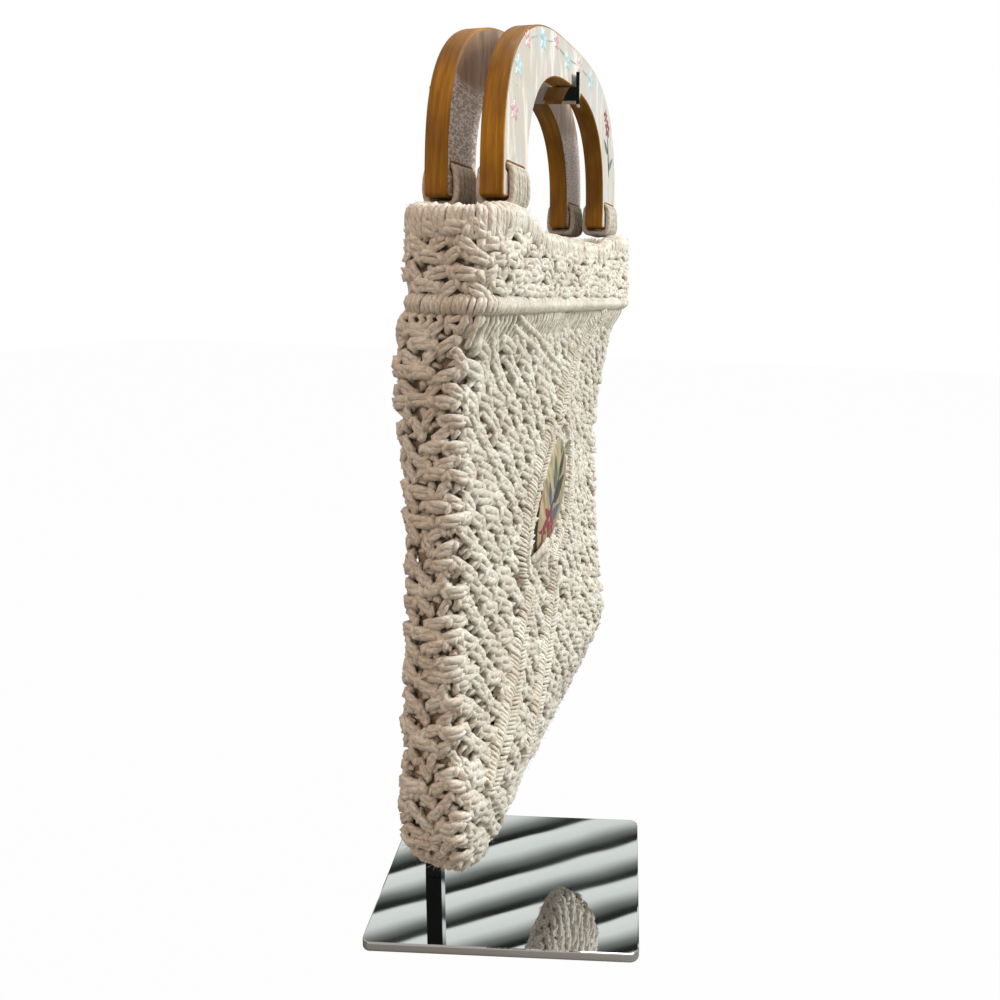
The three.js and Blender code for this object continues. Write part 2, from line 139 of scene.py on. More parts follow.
world = bpy.data.worlds.new("white_room")
world.use_nodes = True
bpy.context.scene.world = world
tree = world.node_tree
tree.nodes.clear()
seen = add(tree, "ShaderNodeLightPath")
room = add(tree, "ShaderNodeBackground", {"Color": linear("f4ece3"), "Strength": 0.52})
white = add(tree, "ShaderNodeBackground", {"Color": (1, 1, 1, 1), "Strength": 1.0})
both = add(tree, "ShaderNodeMixShader",
           {0: seen.outputs["Is Camera Ray"], 1: room.outputs[0], 2: white.outputs[0]})
add(tree, "ShaderNodeOutputWorld", {"Surface": both.outputs[0]})

for name, place, aim, size, power, colour in (
    ("front_lamp", (0.55, -1.7, 1.35), (0, 0, 0.3), 1.1, 45, "f5fcfc"),
    ("top_lamp", (0.2, -0.3, 2.2), (0, 0, 0.2), 1.2, 13, "ffffff"),
    ("end_lamp", (-1.9, 0.3, 1.9), (0, 0, 0.55), 1.5, 16.0, "ffd2b6"),
):
    lamp = bpy.data.objects.new(name, bpy.data.lights.new(name, "AREA"))
    lamp.data.size = size
    lamp.data.energy = power
    lamp.data.color = linear(colour)[:3]
    lamp.location = place
    lamp.rotation_euler = (Vector(aim) - Vector(place)).to_track_quat("-Z", "Y").to_euler()
    lamp.visible_camera = False
    lamp.visible_glossy = name != "end_lamp"
    bpy.context.scene.collection.objects.link(lamp)


# The chrome stand. Steel plate and square tube, polished, nickelled and chromed, so they mirror the room with
# only a trace of haze and a slow waviness from the polishing wheel.
def chrome(name, roughness, wave_depth):
    material, tree = start_material(name)
    place = add(tree, "ShaderNodeTexCoord").outputs["Object"]
    haze = add(tree, "ShaderNodeTexNoise", {"Vector": place, "Scale": 9.0, "Detail": 3.0})
    rough = add(tree, "ShaderNodeMapRange", {"Value": haze.outputs["Fac"], 1: 0.35, 2: 0.7,
                                            3: roughness * 0.7, 4: roughness * 1.5})
    swell = add(tree, "ShaderNodeTexNoise", {"Vector": place, "Scale": 14.0, "Detail": 1.0})
    wave = add(tree, "ShaderNodeBump", {"Height": swell.outputs["Fac"], "Strength": 0.25,
                                       "Distance": wave_depth})
    metal = add(tree, "ShaderNodeBsdfPrincipled", {
        "Base Color": linear("e4e5e8"), "Metallic": 1.0, "Roughness": rough.outputs[0],
        "Normal": wave.outputs[0]})
    add(tree, "ShaderNodeOutputMaterial", {"Surface": metal.outputs[0]})
    return material


plate_chrome = chrome("polished_chrome_plate", 0.02, 0.0003)
tube_chrome = chrome("polished_chrome_tube", 0.06, 0.0004)
for node, finish in (("stand_plate", plate_chrome), ("stand_upright", tube_chrome)):
    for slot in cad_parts[node].material_slots:
        slot.material = finish


# The two wooden handles. Birch boards sawn to an arch, their edges rounded and varnished amber, their faces
# lacquered cream with pearly strokes. The feet are slotted for the cords.
HANDLE_WIDTH, HANDLE_HEIGHT, HANDLE_THICKNESS = 270, 121, 15
LEG_WIDTH, ARCH_BAND, OUTER_LEG, INNER_LEG = 41.5, 28.5, 5, 8
LEG_END = 533
SLOT_FROM_INNER_EDGE, SLOT_HALF, SLOT_RISE = 6, 15, 15.5
SLOT_MIDDLE = HANDLE_WIDTH / 2 - LEG_WIDTH + SLOT_FROM_INNER_EDGE + SLOT_HALF
EDGE_BEVEL = 1.2
HANDLE_OUT, BACK_TURN = 16.5, -math.radians(0.9)
HUNG_AT = np.array([5.2, -17.5, 0.0])
PIVOT_HEIGHT = 624.79
HANG_TILT = math.radians(1.8)


def hang(points):
    """Takes points in millimetres, measured from the plane midway between the handles, to metres in the part."""
    p = np.asarray(points, float) + HUNG_AT - np.array([0, 0, PIVOT_HEIGHT])
    c, s = math.cos(HANG_TILT), math.sin(HANG_TILT)
    x, y, z = p[..., 0], p[..., 1], p[..., 2]
    return np.stack([x * c + z * s, y, -x * s + z * c + PIVOT_HEIGHT], -1) * MM


def arch(half, foot, rise, power, steps):
    angles = np.linspace(0, math.pi, steps)
    cosine, sine = np.cos(angles), np.sin(angles)
    x = half * np.sign(cosine) * np.abs(cosine) ** (2 / power)
    return [(a, b) for a, b in zip(x, foot + rise * np.abs(sine) ** (2 / power))]


def foot_corner(x0, x1, r, steps=5):
    """A rounded corner at the foot of a leg, from the level side at x1 up to the upright side at x0."""
    turn = [math.pi / 2 * i / steps for i in range(steps + 1)]
    away = 1 if x1 > x0 else -1
    return [(x0 + away * r * (1 - math.cos(t)), LEG_END + r * (1 - math.sin(t))) for t in turn]


def handle_outline():
    half, span, r = HANDLE_WIDTH / 2, HANDLE_WIDTH / 2 - LEG_WIDTH, 2.5
    right_out = foot_corner(half, 0, r)[::-1]
    left_out = foot_corner(-half, 0, r)
    outer = arch(half, LEG_END + OUTER_LEG, HANDLE_HEIGHT - OUTER_LEG, 3, 120)
    inner = arch(span, LEG_END + INNER_LEG, HANDLE_HEIGHT - ARCH_BAND - INNER_LEG, 2.75, 100)[::-1]
    left_in = foot_corner(-span, -half, r)[::-1]
    right_in = foot_corner(span, half, r)
    return right_out + outer + left_out + left_in + inner + right_in


def slot_outline(middle, half=SLOT_HALF, r=2.55, steps=8):
    z = LEG_END + SLOT_RISE + r
    ends = []
    for side in (1, -1):
        for i in range(steps + 1):
            a = -math.pi / 2 + math.pi * i / steps
            ends.append((middle + side * (half - r / 2 + r * math.cos(a)), z + side * r * math.sin(a)))
    return ends


def finish_piece(name, verts, faces, materials, uv=None):
    """A mesh object at the origin, from points in metres."""
    mesh = bpy.data.meshes.new(name)
    mesh.from_pydata([tuple(v) for v in verts], [], [tuple(f) for f in faces])
    for material in materials:
        mesh.materials.append(material)
    if uv is not None:
        layer = mesh.uv_layers.new(name="cord")
        layer.data.foreach_set("uv", np.asarray(uv, np.float32).ravel())
    mesh.shade_smooth()
    mesh.update()
    obj = bpy.data.objects.new(name, mesh)
    bpy.context.scene.collection.objects.link(obj)
    return obj


def board(name, y, turn, face_finish, edge_finish):
    curve = bpy.data.curves.new(name, "CURVE")
    curve.dimensions = "2D"
    curve.fill_mode = "BOTH"
    curve.extrude = HANDLE_THICKNESS / 2 - EDGE_BEVEL
    curve.bevel_depth = EDGE_BEVEL
    curve.bevel_resolution = 2
    curve.offset = -EDGE_BEVEL
    for line in (handle_outline(), slot_outline(SLOT_MIDDLE), slot_outline(-SLOT_MIDDLE)):
        spline = curve.splines.new("POLY")
        spline.points.add(len(line) - 1)
        for point, (x, z) in zip(spline.points, line):
            point.co = (x, z, 0, 1)
        spline.use_cyclic_u = True
    rough = bpy.data.objects.new(name + "_curve", curve)
    bpy.context.scene.collection.objects.link(rough)
    mesh = bpy.data.meshes.new_from_object(rough.evaluated_get(bpy.context.evaluated_depsgraph_get()))
    bpy.data.objects.remove(rough)
    mesh.name = name
    form = bmesh.new()
    form.from_mesh(mesh)
    bmesh.ops.remove_doubles(form, verts=form.verts, dist=0.002)
    for v in form.verts:
        x, z, out = v.co
        c, s = math.cos(turn), math.sin(turn)
        v.co = hang([x * c + out * s, y + x * s - out * c, z])
    bmesh.ops.recalc_face_normals(form, faces=form.faces)
    form.to_mesh(mesh)
    form.free()
    mesh.materials.clear()
    mesh.materials.append(edge_finish)
    mesh.materials.append(face_finish)
    mesh.shade_smooth()
    for polygon in mesh.polygons:
        polygon.material_index = int(abs(polygon.normal.y) > 0.99)
    flat = {k for p in mesh.polygons if p.material_index for k in p.edge_keys}
    round_ = {k for p in mesh.polygons if not p.material_index for k in p.edge_keys}
    for edge in mesh.edges:
        edge.use_edge_sharp = edge.key in flat and edge.key in round_
    obj = bpy.data.objects.new(name, mesh)
    bpy.context.scene.collection.objects.link(obj)
    return obj


def varnished_birch(name):
    """Birch end and side grain under amber varnish: fine lines along the edge and a wet gloss."""
    material, tree = start_material(name)
    place = add(tree, "ShaderNodeTexCoord").outputs["Object"]
    stretched = add(tree, "ShaderNodeMapping", {"Vector": place, "Scale": (30.0, 420.0, 30.0)})
    grain = add(tree, "ShaderNodeTexNoise", {"Vector": stretched.outputs[0], "Scale": 1.0, "Detail": 5.0,
                                            "Roughness": 0.65})
    cloud = add(tree, "ShaderNodeTexNoise", {"Vector": place, "Scale": 22.0, "Detail": 2.0})
    mixed = add(tree, "ShaderNodeMath", {0: grain.outputs["Fac"], 1: cloud.outputs["Fac"], 2: 0.12},
                operation="MULTIPLY_ADD")
    tint = add(tree, "ShaderNodeValToRGB", {"Fac": mixed.outputs[0]})
    tint.color_ramp.elements[0].position, tint.color_ramp.elements[0].color = 0.22, linear("6a4205")
    tint.color_ramp.elements[1].position, tint.color_ramp.elements[1].color = 0.62, linear("c48a14")
    tint.color_ramp.elements.new(0.42).color = linear("9c6a09")
    relief = add(tree, "ShaderNodeBump", {"Height": grain.outputs["Fac"], "Strength": 0.12, "Distance": 0.0004})
    wood = add(tree, "ShaderNodeBsdfPrincipled", {
        "Base Color": tint.outputs[0], "Roughness": 0.45, "Specular IOR Level": 0.3, "Coat Weight": 0.15,
        "Coat Roughness": 0.16, "Normal": relief.outputs[0]})
    add(tree, "ShaderNodeOutputMaterial", {"Surface": wood.outputs[0]})
    return material


def pearly_lacquer(name, ground, strokes, speckle, split=None):
    """Cream lacquer brushed on upright, with pale strokes of blue, lilac and pink let into it while wet."""
    material, tree = start_material(name)
    place = add(tree, "ShaderNodeTexCoord").outputs["Object"]
    brushed = add(tree, "ShaderNodeMapping", {"Vector": place, "Scale": (130.0, 20.0, 17.0)})
    sway = add(tree, "ShaderNodeTexNoise", {"Vector": place, "Scale": 38.0, "Detail": 2.0})
    swayed = add(tree, "ShaderNodeMix", {0: 0.35, 4: brushed.outputs[0], 5: sway.outputs["Color"]},
                 data_type="VECTOR", blend_type="MIX")
    last = linear(ground)
    for i, (stroke, low, high) in enumerate(strokes):
        moved = add(tree, "ShaderNodeVectorMath", {0: swayed.outputs[1], 1: (7.3 * i, 3.1 * i, 5.7 * i)},
                    operation="ADD")
        drift = add(tree, "ShaderNodeTexNoise", {"Vector": moved.outputs[0], "Scale": 1.2, "Detail": 5.0,
                                                "Roughness": 0.65})
        amount = add(tree, "ShaderNodeMapRange", {"Value": drift.outputs["Fac"], 1: low, 2: high, 3: 0.0, 4: 0.8})
        layer = add(tree, "ShaderNodeMix", {0: amount.outputs[0], 6: last, 7: linear(stroke)}, data_type="RGBA")
        last = layer.outputs[2]
    grit = add(tree, "ShaderNodeTexNoise", {"Vector": place, "Scale": 700.0, "Detail": 2.0})
    if split:
        height = add(tree, "ShaderNodeSeparateXYZ", {0: place})
        ragged = add(tree, "ShaderNodeMath", {0: sway.outputs["Fac"], 1: 0.02, 2: height.outputs[2]},
                     operation="MULTIPLY_ADD")
        below = add(tree, "ShaderNodeMapRange", {"Value": ragged.outputs[0], 1: split, 2: split + 0.008,
                                                3: 1.0, 4: 0.0})
        dashes = add(tree, "ShaderNodeMapping", {"Vector": place, "Scale": (380.0, 380.0, 900.0)})
        dots = add(tree, "ShaderNodeTexNoise", {"Vector": dashes.outputs[0], "Scale": 1.0, "Detail": 2.0})
        spots = add(tree, "ShaderNodeMapRange", {"Value": dots.outputs["Fac"], 1: 0.44, 2: 0.60, 3: 0.15, 4: 1.0})
        dusty = add(tree, "ShaderNodeMath", {0: below.outputs[0], 1: spots.outputs[0]}, operation="MULTIPLY")
        layer = add(tree, "ShaderNodeMix", {0: dusty.outputs[0], 6: last, 7: linear("e9e0dc")}, data_type="RGBA")
        last = layer.outputs[2]
    flecks = add(tree, "ShaderNodeMapRange", {"Value": grit.outputs["Fac"], 1: 0.55, 2: 0.72, 3: 0.0, 4: speckle})
    dusted = add(tree, "ShaderNodeMix", {0: flecks.outputs[0], 6: last, 7: linear("6b5a50")}, data_type="RGBA")
    relief = add(tree, "ShaderNodeBump", {"Height": drift.outputs["Fac"], "Strength": 0.25, "Distance": 0.0004})
    paint = add(tree, "ShaderNodeBsdfPrincipled", {
        "Base Color": dusted.outputs[2], "Roughness": 0.36, "Coat Weight": 0.4, "Coat Roughness": 0.15,
        "Sheen Weight": 0.15, "Normal": relief.outputs[0]})
    add(tree, "ShaderNodeOutputMaterial", {"Surface": paint.outputs[0]})
    return material


amber_edge = varnished_birch("amber_varnished_birch")
front_lacquer = pearly_lacquer("cream_pearl_lacquer", "c9bfb0", (
    ("b9cbd6", 0.50, 0.64), ("cdbccb", 0.52, 0.66), ("f2eee4", 0.50, 0.62), ("d9bab0", 0.56, 0.70)), 0.10)
# The back board's lacquer has a darker, browner ground than the front's: partly its own brown tint, partly
# painted shade from the front handle before it.
back_lacquer_and_shade = pearly_lacquer("rose_pearl_lacquer_and_painted_shade", "96704f", (
    ("b99a86", 0.45, 0.62), ("6b4830", 0.48, 0.60), ("c9b2a4", 0.58, 0.70)), 0.5, split=0.612)
handle_front = board("wooden_handle_front", -HANDLE_OUT, 0.0, front_lacquer, amber_edge)
handle_back = board("wooden_handle_back", HANDLE_OUT, BACK_TURN, back_lacquer_and_shade, amber_edge)
for obj, node in ((handle_front, "handle_front"), (handle_back, "handle_back")):
    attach(obj, "root")
    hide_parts(node)


# The cotton cord. Undyed cotton laid in three strands, from 2.8 mm thick in the ribs to 5.5 mm in the front's
# knots, so every knot shows slanting ply lines and a soft fuzz that scatters light at grazing angles.
CORD_LAY, PLY_RELIEF = 15.0, 0.0004


def smooth_path(points, count, closed=False):
    """Points at even steps on a smooth curve through the given ones."""
    p = np.asarray(points, float)
    n = len(p)
    spans = n if closed else n - 1
    t = np.linspace(0, spans, count, endpoint=not closed)
    i = np.minimum(t.astype(int), spans - 1)
    f = (t - i)[:, None]
    take = (lambda k: p[k % n]) if closed else (lambda k: p[np.clip(k, 0, n - 1)])
    a, b, c, d = take(i - 1), take(i), take(i + 1), take(i + 2)
    return 0.5 * (2 * b + (c - a) * f + (2 * a - 5 * b + 4 * c - d) * f ** 2 + (3 * b - a - 3 * c + d) * f ** 3)


def strands(paths, radius, sides=6, closed=False, puff=0.0):
    """Round cords along paths: points, faces and a UV pair for each corner (metres along, share round)."""
    verts, faces, uvs = [], [], []
    for path in paths:
        p = np.asarray(path, float)
        n = len(p)
        ahead = np.roll(p, -1, 0) - np.roll(p, 1, 0) if closed else np.gradient(p, axis=0)
        ahead /= np.linalg.norm(ahead, axis=1)[:, None] + 1e-12
        side = np.cross(ahead[0], (0.0, 0.31, 0.95))
        side /= np.linalg.norm(side)
        length = np.concatenate([[0], np.cumsum(np.linalg.norm(np.diff(p, axis=0), axis=1))]) * MM
        base = len(verts)
        for k in range(n):
            side = side - ahead[k] * side.dot(ahead[k])
            side /= np.linalg.norm(side)
            up = np.cross(ahead[k], side)
            thick = radius * (1 + puff * (1.6 * math.sin(math.pi * k / max(1, n - 1)) - 1))
            for j in range(sides):
                a = 2 * math.pi * j / sides
                verts.append(p[k] + thick * (math.cos(a) * side + math.sin(a) * up))
        for k in range(n if closed else n - 1):
            m = (k + 1) % n
            l0, l1 = length[k], length[k] + np.linalg.norm(p[m] - p[k]) * MM
            for j in range(sides):
                h = (j + 1) % sides
                faces.append((base + k * sides + j, base + k * sides + h, base + m * sides + h,
                              base + m * sides + j))
                uvs += [(l0, j / sides), (l0, (j + 1) / sides), (l1, (j + 1) / sides), (l1, j / sides)]
        if not closed:
            faces.append(tuple(base + j for j in range(sides))[::-1])
            faces.append(tuple(base + (n - 1) * sides + j for j in range(sides)))
            uvs += [(0.0, 0.0)] * (2 * sides)
    return np.array(verts), faces, np.array(uvs)


def cotton(name, light, shadow):
    """Three-ply cotton: ply lines follow the cord's own length and round, fuzz and dust follow the object."""
    material, tree = start_material(name)
    place = add(tree, "ShaderNodeTexCoord").outputs["Object"]
    along = add(tree, "ShaderNodeUVMap", uv_map="cord")
    split = add(tree, "ShaderNodeSeparateXYZ", {0: along.outputs[0]})
    turns = add(tree, "ShaderNodeMath", {0: split.outputs[0], 1: 3000 / CORD_LAY}, operation="MULTIPLY")
    plies = add(tree, "ShaderNodeMath", {0: split.outputs[1], 1: 3.0, 2: turns.outputs[0]},
                operation="MULTIPLY_ADD")
    lines = add(tree, "ShaderNodeMath", {0: plies.outputs[0], 1: 0.5}, operation="PINGPONG")
    drawn = add(tree, "ShaderNodeMapping", {"Vector": along.outputs[0], "Scale": (160.0, 11.0, 1.0)})
    fibre = add(tree, "ShaderNodeTexNoise", {"Vector": drawn.outputs[0], "Scale": 1.0, "Detail": 4.0,
                                            "Roughness": 0.7})
    fuzz = add(tree, "ShaderNodeTexNoise", {"Vector": place, "Scale": 1100.0, "Detail": 3.0})
    rough = add(tree, "ShaderNodeMath", {0: fibre.outputs["Fac"], 1: 0.9, 2: fuzz.outputs["Fac"]},
                operation="MULTIPLY_ADD")
    height = add(tree, "ShaderNodeMath", {0: rough.outputs[0], 1: 0.5, 2: lines.outputs[0]},
                 operation="MULTIPLY_ADD")
    relief = add(tree, "ShaderNodeBump", {"Height": height.outputs[0], "Strength": 0.9, "Distance": PLY_RELIEF})
    patch = add(tree, "ShaderNodeTexNoise", {"Vector": place, "Scale": 45.0, "Detail": 4.0, "Roughness": 0.6})
    worn = add(tree, "ShaderNodeMapRange", {"Value": patch.outputs["Fac"], 1: 0.35, 2: 0.68, 3: 0.0, 4: 1.0})
    tint = add(tree, "ShaderNodeMix", {0: worn.outputs[0], 6: linear(shadow), 7: linear(light)},
               data_type="RGBA")
    # Painted shade: the ply grooves are painted darker, down to 80 per cent of the cord's colour.
    painted_groove_shade = add(tree, "ShaderNodeMapRange", {"Value": lines.outputs[0], 1: 0.0, 2: 0.25, 3: 0.80, 4: 1.0})
    dark = add(tree, "ShaderNodeMix", {0: 1.0, 6: tint.outputs[2], 7: painted_groove_shade.outputs[0]},
               data_type="RGBA", blend_type="MULTIPLY")
    nap = add(tree, "ShaderNodeTexNoise", {"Vector": place, "Scale": 620.0, "Detail": 2.0, "Roughness": 0.7})
    mottle = add(tree, "ShaderNodeMapRange", {"Value": nap.outputs["Fac"], 1: 0.36, 2: 0.60, 3: 0.84, 4: 1.10})
    dark = add(tree, "ShaderNodeMix", {0: 1.0, 6: dark.outputs[2], 7: mottle.outputs[0]},
               data_type="RGBA", blend_type="MULTIPLY")
    cloth = add(tree, "ShaderNodeBsdfPrincipled", {
        "Base Color": dark.outputs[2], "Roughness": 0.92, "Sheen Weight": 0.35, "Sheen Roughness": 0.5,
        "Specular IOR Level": 0.2, "Normal": relief.outputs[0]})
    add(tree, "ShaderNodeOutputMaterial", {"Surface": cloth.outputs[0]})
    return material


cream_cotton = cotton("laid_cotton_cord", "ede9dd", "d6cbbb")


def cotton_piece(name, verts, faces, uv, replaced, material=None):
    obj = finish_piece(name, verts, faces, [material or cream_cotton], uv)
    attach(obj, "root")
    if replaced:
        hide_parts(*replaced)
    return obj


# The cord loops. Six cords, lying side by side, leave the slot in each foot, run down over both faces and
# close under it, where they are hitched to the mouth's rim. Their cotton is painted a little greyer than the
# rest, as painted shade.
loop_cotton_with_painted_shade = cotton("loop_cotton_cord_painted_shade", "d3cdbf", "b8ac9c")
chance = np.random.default_rng(7)
for side, y, turn in (("front", -HANDLE_OUT, 0.0), ("back", HANDLE_OUT, BACK_TURN)):
    for end, middle in (("near", -SLOT_MIDDLE), ("far", SLOT_MIDDLE)):
        loops = []
        for lane in range(6):
            x = middle + (lane - 2.5) * 4.9
            t = HANDLE_THICKNESS / 2 + 2.35
            low, high = LEG_END - 3.6, LEG_END + SLOT_RISE + 2.6
            j = chance.uniform(-1.0, 1.0, 8)
            half_up = (low + high) / 2
            ring = [(x + j[0], -t, low + 3), (x + j[1], -t - 0.3, half_up), (x + j[2], -t + 1.2, high - 0.2),
                    (x, 0, high + 0.3), (x - j[2], t - 1.2, high - 0.2), (x + j[3], t + 0.3, half_up),
                    (x + j[4], t, low + 3), (x + j[5], t - 3, low - 0.2), (x, 0, low),
                    (x + j[6], -t + 3, low - 0.2)]
            p = smooth_path(ring, 26, closed=True)
            c, s = math.cos(turn), math.sin(turn)
            loops.append(np.stack([p[:, 0] * c - p[:, 1] * s, y + p[:, 0] * s + p[:, 1] * c, p[:, 2]], -1))
        verts, faces, uv = strands(loops, 2.15, sides=8, closed=True)
        cotton_piece(f"cords_{side}_{end}", hang(verts), faces, uv, [f"cord_loops_{side}_{end}"], loop_cotton_with_painted_shade)


# The bag's shape. What hangs from the rim: a pocket 344 mm long with round lower corners, a slack front, a
# fuller back and a deeper foot, all measured from the plane midway between the handles.
BAG_HALF, BAG_DEPTH = 172.0, 53.0
BODY_TOP, BODY_HEIGHT, CORNER = 465.5, 351.0, 62.0
BODY_BOTTOM = BODY_TOP - BODY_HEIGHT
KNOT_SINK = 4.0
FRONT_EDGE_ROUND, END_EDGE_ROUND, BACK_SLACK = 10.0, 9.0, 0.4
SHARES = np.array([
    (0.000, 0.18, 0.34), (0.030, 0.23, 0.39), (0.065, 0.27, 0.43), (0.120, 0.34, 0.46), (0.175, 0.38, 0.45),
    (0.225, 0.34, 0.44), (0.280, 0.27, 0.43), (0.350, 0.25, 0.41), (0.450, 0.24, 0.39), (0.620, 0.24, 0.40),
    (0.760, 0.24, 0.46), (0.860, 0.26, 0.54), (0.930, 0.30, 0.53), (0.978, 0.38, 0.50), (1.000, 0.52, 0.42)])


def reach(z, column):
    """How far the front (1) or the back (2) stands out at a height."""
    share = (np.asarray(z, float) - BODY_BOTTOM) / BODY_HEIGHT
    at = np.linspace(-0.02, 1.02, 105)
    line = np.interp(at, SHARES[:, 0], SHARES[:, column])
    line = np.convolve(np.pad(line, 2, "edge"), (0.1, 0.25, 0.3, 0.25, 0.1), "valid")
    return BAG_DEPTH * np.interp(share, at, line)


def slack(x, z):
    """How far the front falls back, up to 15 mm over the foot and 11 mm at the waist of the far end."""
    share = (np.asarray(z, float) - BODY_BOTTOM) / BODY_HEIGHT
    foot = np.interp(share, (0, 0.03, 0.08, 0.12, 0.17, 0.28), (9.0, 9.0, 7.5, 6.0, 4.0, 0.0))
    waist = np.interp(share, (0.18, 0.30, 0.45, 0.66, 0.82, 0.93, 1.0), (0, 4.0, 9.0, 11.0, 7.0, 2.0, 0.0))
    deeper = 1 + 0.7 * np.clip(x / 100, 0, 1)
    return foot * np.clip((x + 95) / 60, 0, 1) * deeper + waist * np.clip((x - 20) / 120, 0, 1)


def inside_edge(x, z):
    """How far a place on the front lies inside the bag's outline, seen square on."""
    half = BAG_HALF - 2
    flat = np.minimum(half - np.abs(x), z - BODY_BOTTOM)
    dx, dz = np.abs(x) - (half - CORNER), BODY_BOTTOM + CORNER - z
    round_ = CORNER - np.hypot(np.maximum(dx, 0), np.maximum(dz, 0))
    return np.where((dx > 0) & (dz > 0), round_, flat)


def panel(face):
    """The front (-1) or back (1) as a surface: place along, height and how far out give a point."""
    def bare(u, v):
        r = FRONT_EDGE_ROUND
        d = np.clip(inside_edge(u, v), 0.0, r)
        drop = r - np.sqrt(np.maximum(0.0, r * r - (r - d) ** 2))
        sag = 1.2 * np.sin(u / 31.0 + v / 47.0) + 0.9 * np.sin(u / 17.0 - v / 29.0 + 1.3)
        soft = np.clip(inside_edge(u, v) / 30.0, 0, 1)
        out = reach(v, 1 if face < 0 else 2) - drop + sag * soft
        return np.stack([u, face * out + slack(u, v) * (1.0 if face < 0 else BACK_SLACK), v], -1)

    def surface(u, v, w):
        e = 0.5
        p = bare(u, v)
        du = bare(u + e, v) - bare(u - e, v)
        dv = bare(u, v + e) - bare(u, v - e)
        n = np.cross(du, dv)
        n /= np.linalg.norm(n, axis=-1)[..., None]
        return p + n * ((np.asarray(w) - KNOT_SINK) * (1 if face < 0 else -1))[..., None]
    return surface


def outline_at(t):
    """The bag's end, corner and underside as one line, from the near top: place, height and outward way."""
    half = BAG_HALF - 2
    straight, bend, under = BODY_HEIGHT - CORNER, CORNER * math.pi / 2, 2 * (half - CORNER)
    marks = np.cumsum([0, straight, bend, under, bend, straight])
    t = np.asarray(t, float)
    a1 = np.clip((t - marks[1]) / CORNER, 0, math.pi / 2)
    a2 = np.clip((t - marks[3]) / CORNER, 0, math.pi / 2)
    x = np.select([t < marks[1], t < marks[2], t < marks[3], t < marks[4]],
                  [-half + 0 * t, -half + CORNER - CORNER * np.cos(a1), -half + CORNER + (t - marks[2]),
                   half - CORNER + CORNER * np.sin(a2)], half)
    z = np.select([t < marks[1], t < marks[2], t < marks[3], t < marks[4]],
                  [BODY_TOP - t, BODY_BOTTOM + CORNER - CORNER * np.sin(a1), BODY_BOTTOM + 0 * t,
                   BODY_BOTTOM + CORNER - CORNER * np.cos(a2)], BODY_BOTTOM + CORNER + (t - marks[4]))
    nx = np.select([t < marks[1], t < marks[2], t < marks[3], t < marks[4]],
                   [-1 + 0 * t, -np.cos(a1), 0 * t, np.sin(a2)], 1.0)
    nz = np.select([t < marks[1], t < marks[2], t < marks[3], t < marks[4]],
                   [0 * t, -np.sin(a1), -1 + 0 * t, -np.cos(a2)], 0.0)
    return x, z, nx, nz, marks[-1]


def gusset(s, t, w):
    """The band of fabric round the ends and the underside, turned over the edges: across, along and out."""
    def bare(s, t):
        x, z, nx, nz, _ = outline_at(t)
        front, back = reach(z, 1) - slack(x, z), reach(z, 2) + BACK_SLACK * slack(x, z)
        r = END_EDGE_ROUND
        over = np.maximum(0, np.abs(s) - (front + back) / 2 + r)
        bend = np.minimum(over / r, math.pi / 2)
        inward = r * (1 - np.cos(bend)) + np.maximum(0, over - r * math.pi / 2)
        half = np.minimum(np.abs(s), (front + back) / 2 - r) + r * np.sin(bend)
        return np.stack([x - nx * inward, (back - front) / 2 + np.sign(s) * half, z - nz * inward], -1)
    e = 0.5
    p = bare(s, t)
    n = np.cross(bare(s + e, t) - bare(s - e, t), bare(s, t + e) - bare(s, t - e))
    n /= np.linalg.norm(n, axis=-1)[..., None]
    return p + n * (np.asarray(w) - KNOT_SINK)[..., None]


# The knots. Alternating square knots: two working cords cross over and under two filler cords, twice, and
# each row's knots are tied from two halves of the row above, which leaves the small gaps between them.
def square_knot(r, slant, arch, wide=1.0, high=1.0):
    """One knot's six cords round the origin: slant tilts its bars, arch bows them, wide and high scale them."""
    upper = [(-8.6, 4.6, -0.8), (-7.8, 4.4, 2.0), (-3.8, 3.4, 4.2), (2.0, 2.6, 4.6), (6.4, 2.2, 3.2),
             (8.2, 0.6, -0.6)]
    lower = [(-7.8, -0.2, -0.4), (-6.6, -0.8, 2.4), (-2.2, -2.0, 4.3), (3.4, -2.2, 4.2), (7.4, -3.4, 2.0),
             (9.8, -6.6, -0.6)]
    left = [(-6.4, 5.6, 0.2), (-8.4, 3.0, 4.0), (-8.2, -0.2, 3.8), (-8.0, -3.6, 1.6), (-10.0, -7.0, -0.6)]
    right = [(6.0, 4.4, 0.4), (8.2, 2.2, 4.2), (8.2, -1.4, 4.4), (6.4, -4.0, 0.4)]
    core = [(0.4, -3.4, 0.4), (-1.0, -5.8, 2.2), (-4.4, -8.6, 0.0)]
    other = [(1.0, -3.6, 0.2), (3.0, -6.4, 1.8), (6.0, -9.4, 0.0)]
    bent = lambda line: [(wide * x, high * y - slant * x - arch * (x / 8) ** 2, z) for x, y, z in line]
    paths = [smooth_path(bent(upper), 7), smooth_path(bent(lower), 6), smooth_path(bent(left), 5),
             smooth_path(bent(right), 4), smooth_path(core, 3), smooth_path(other, 3)]
    return strands(paths, r, sides=4, puff=0.3)


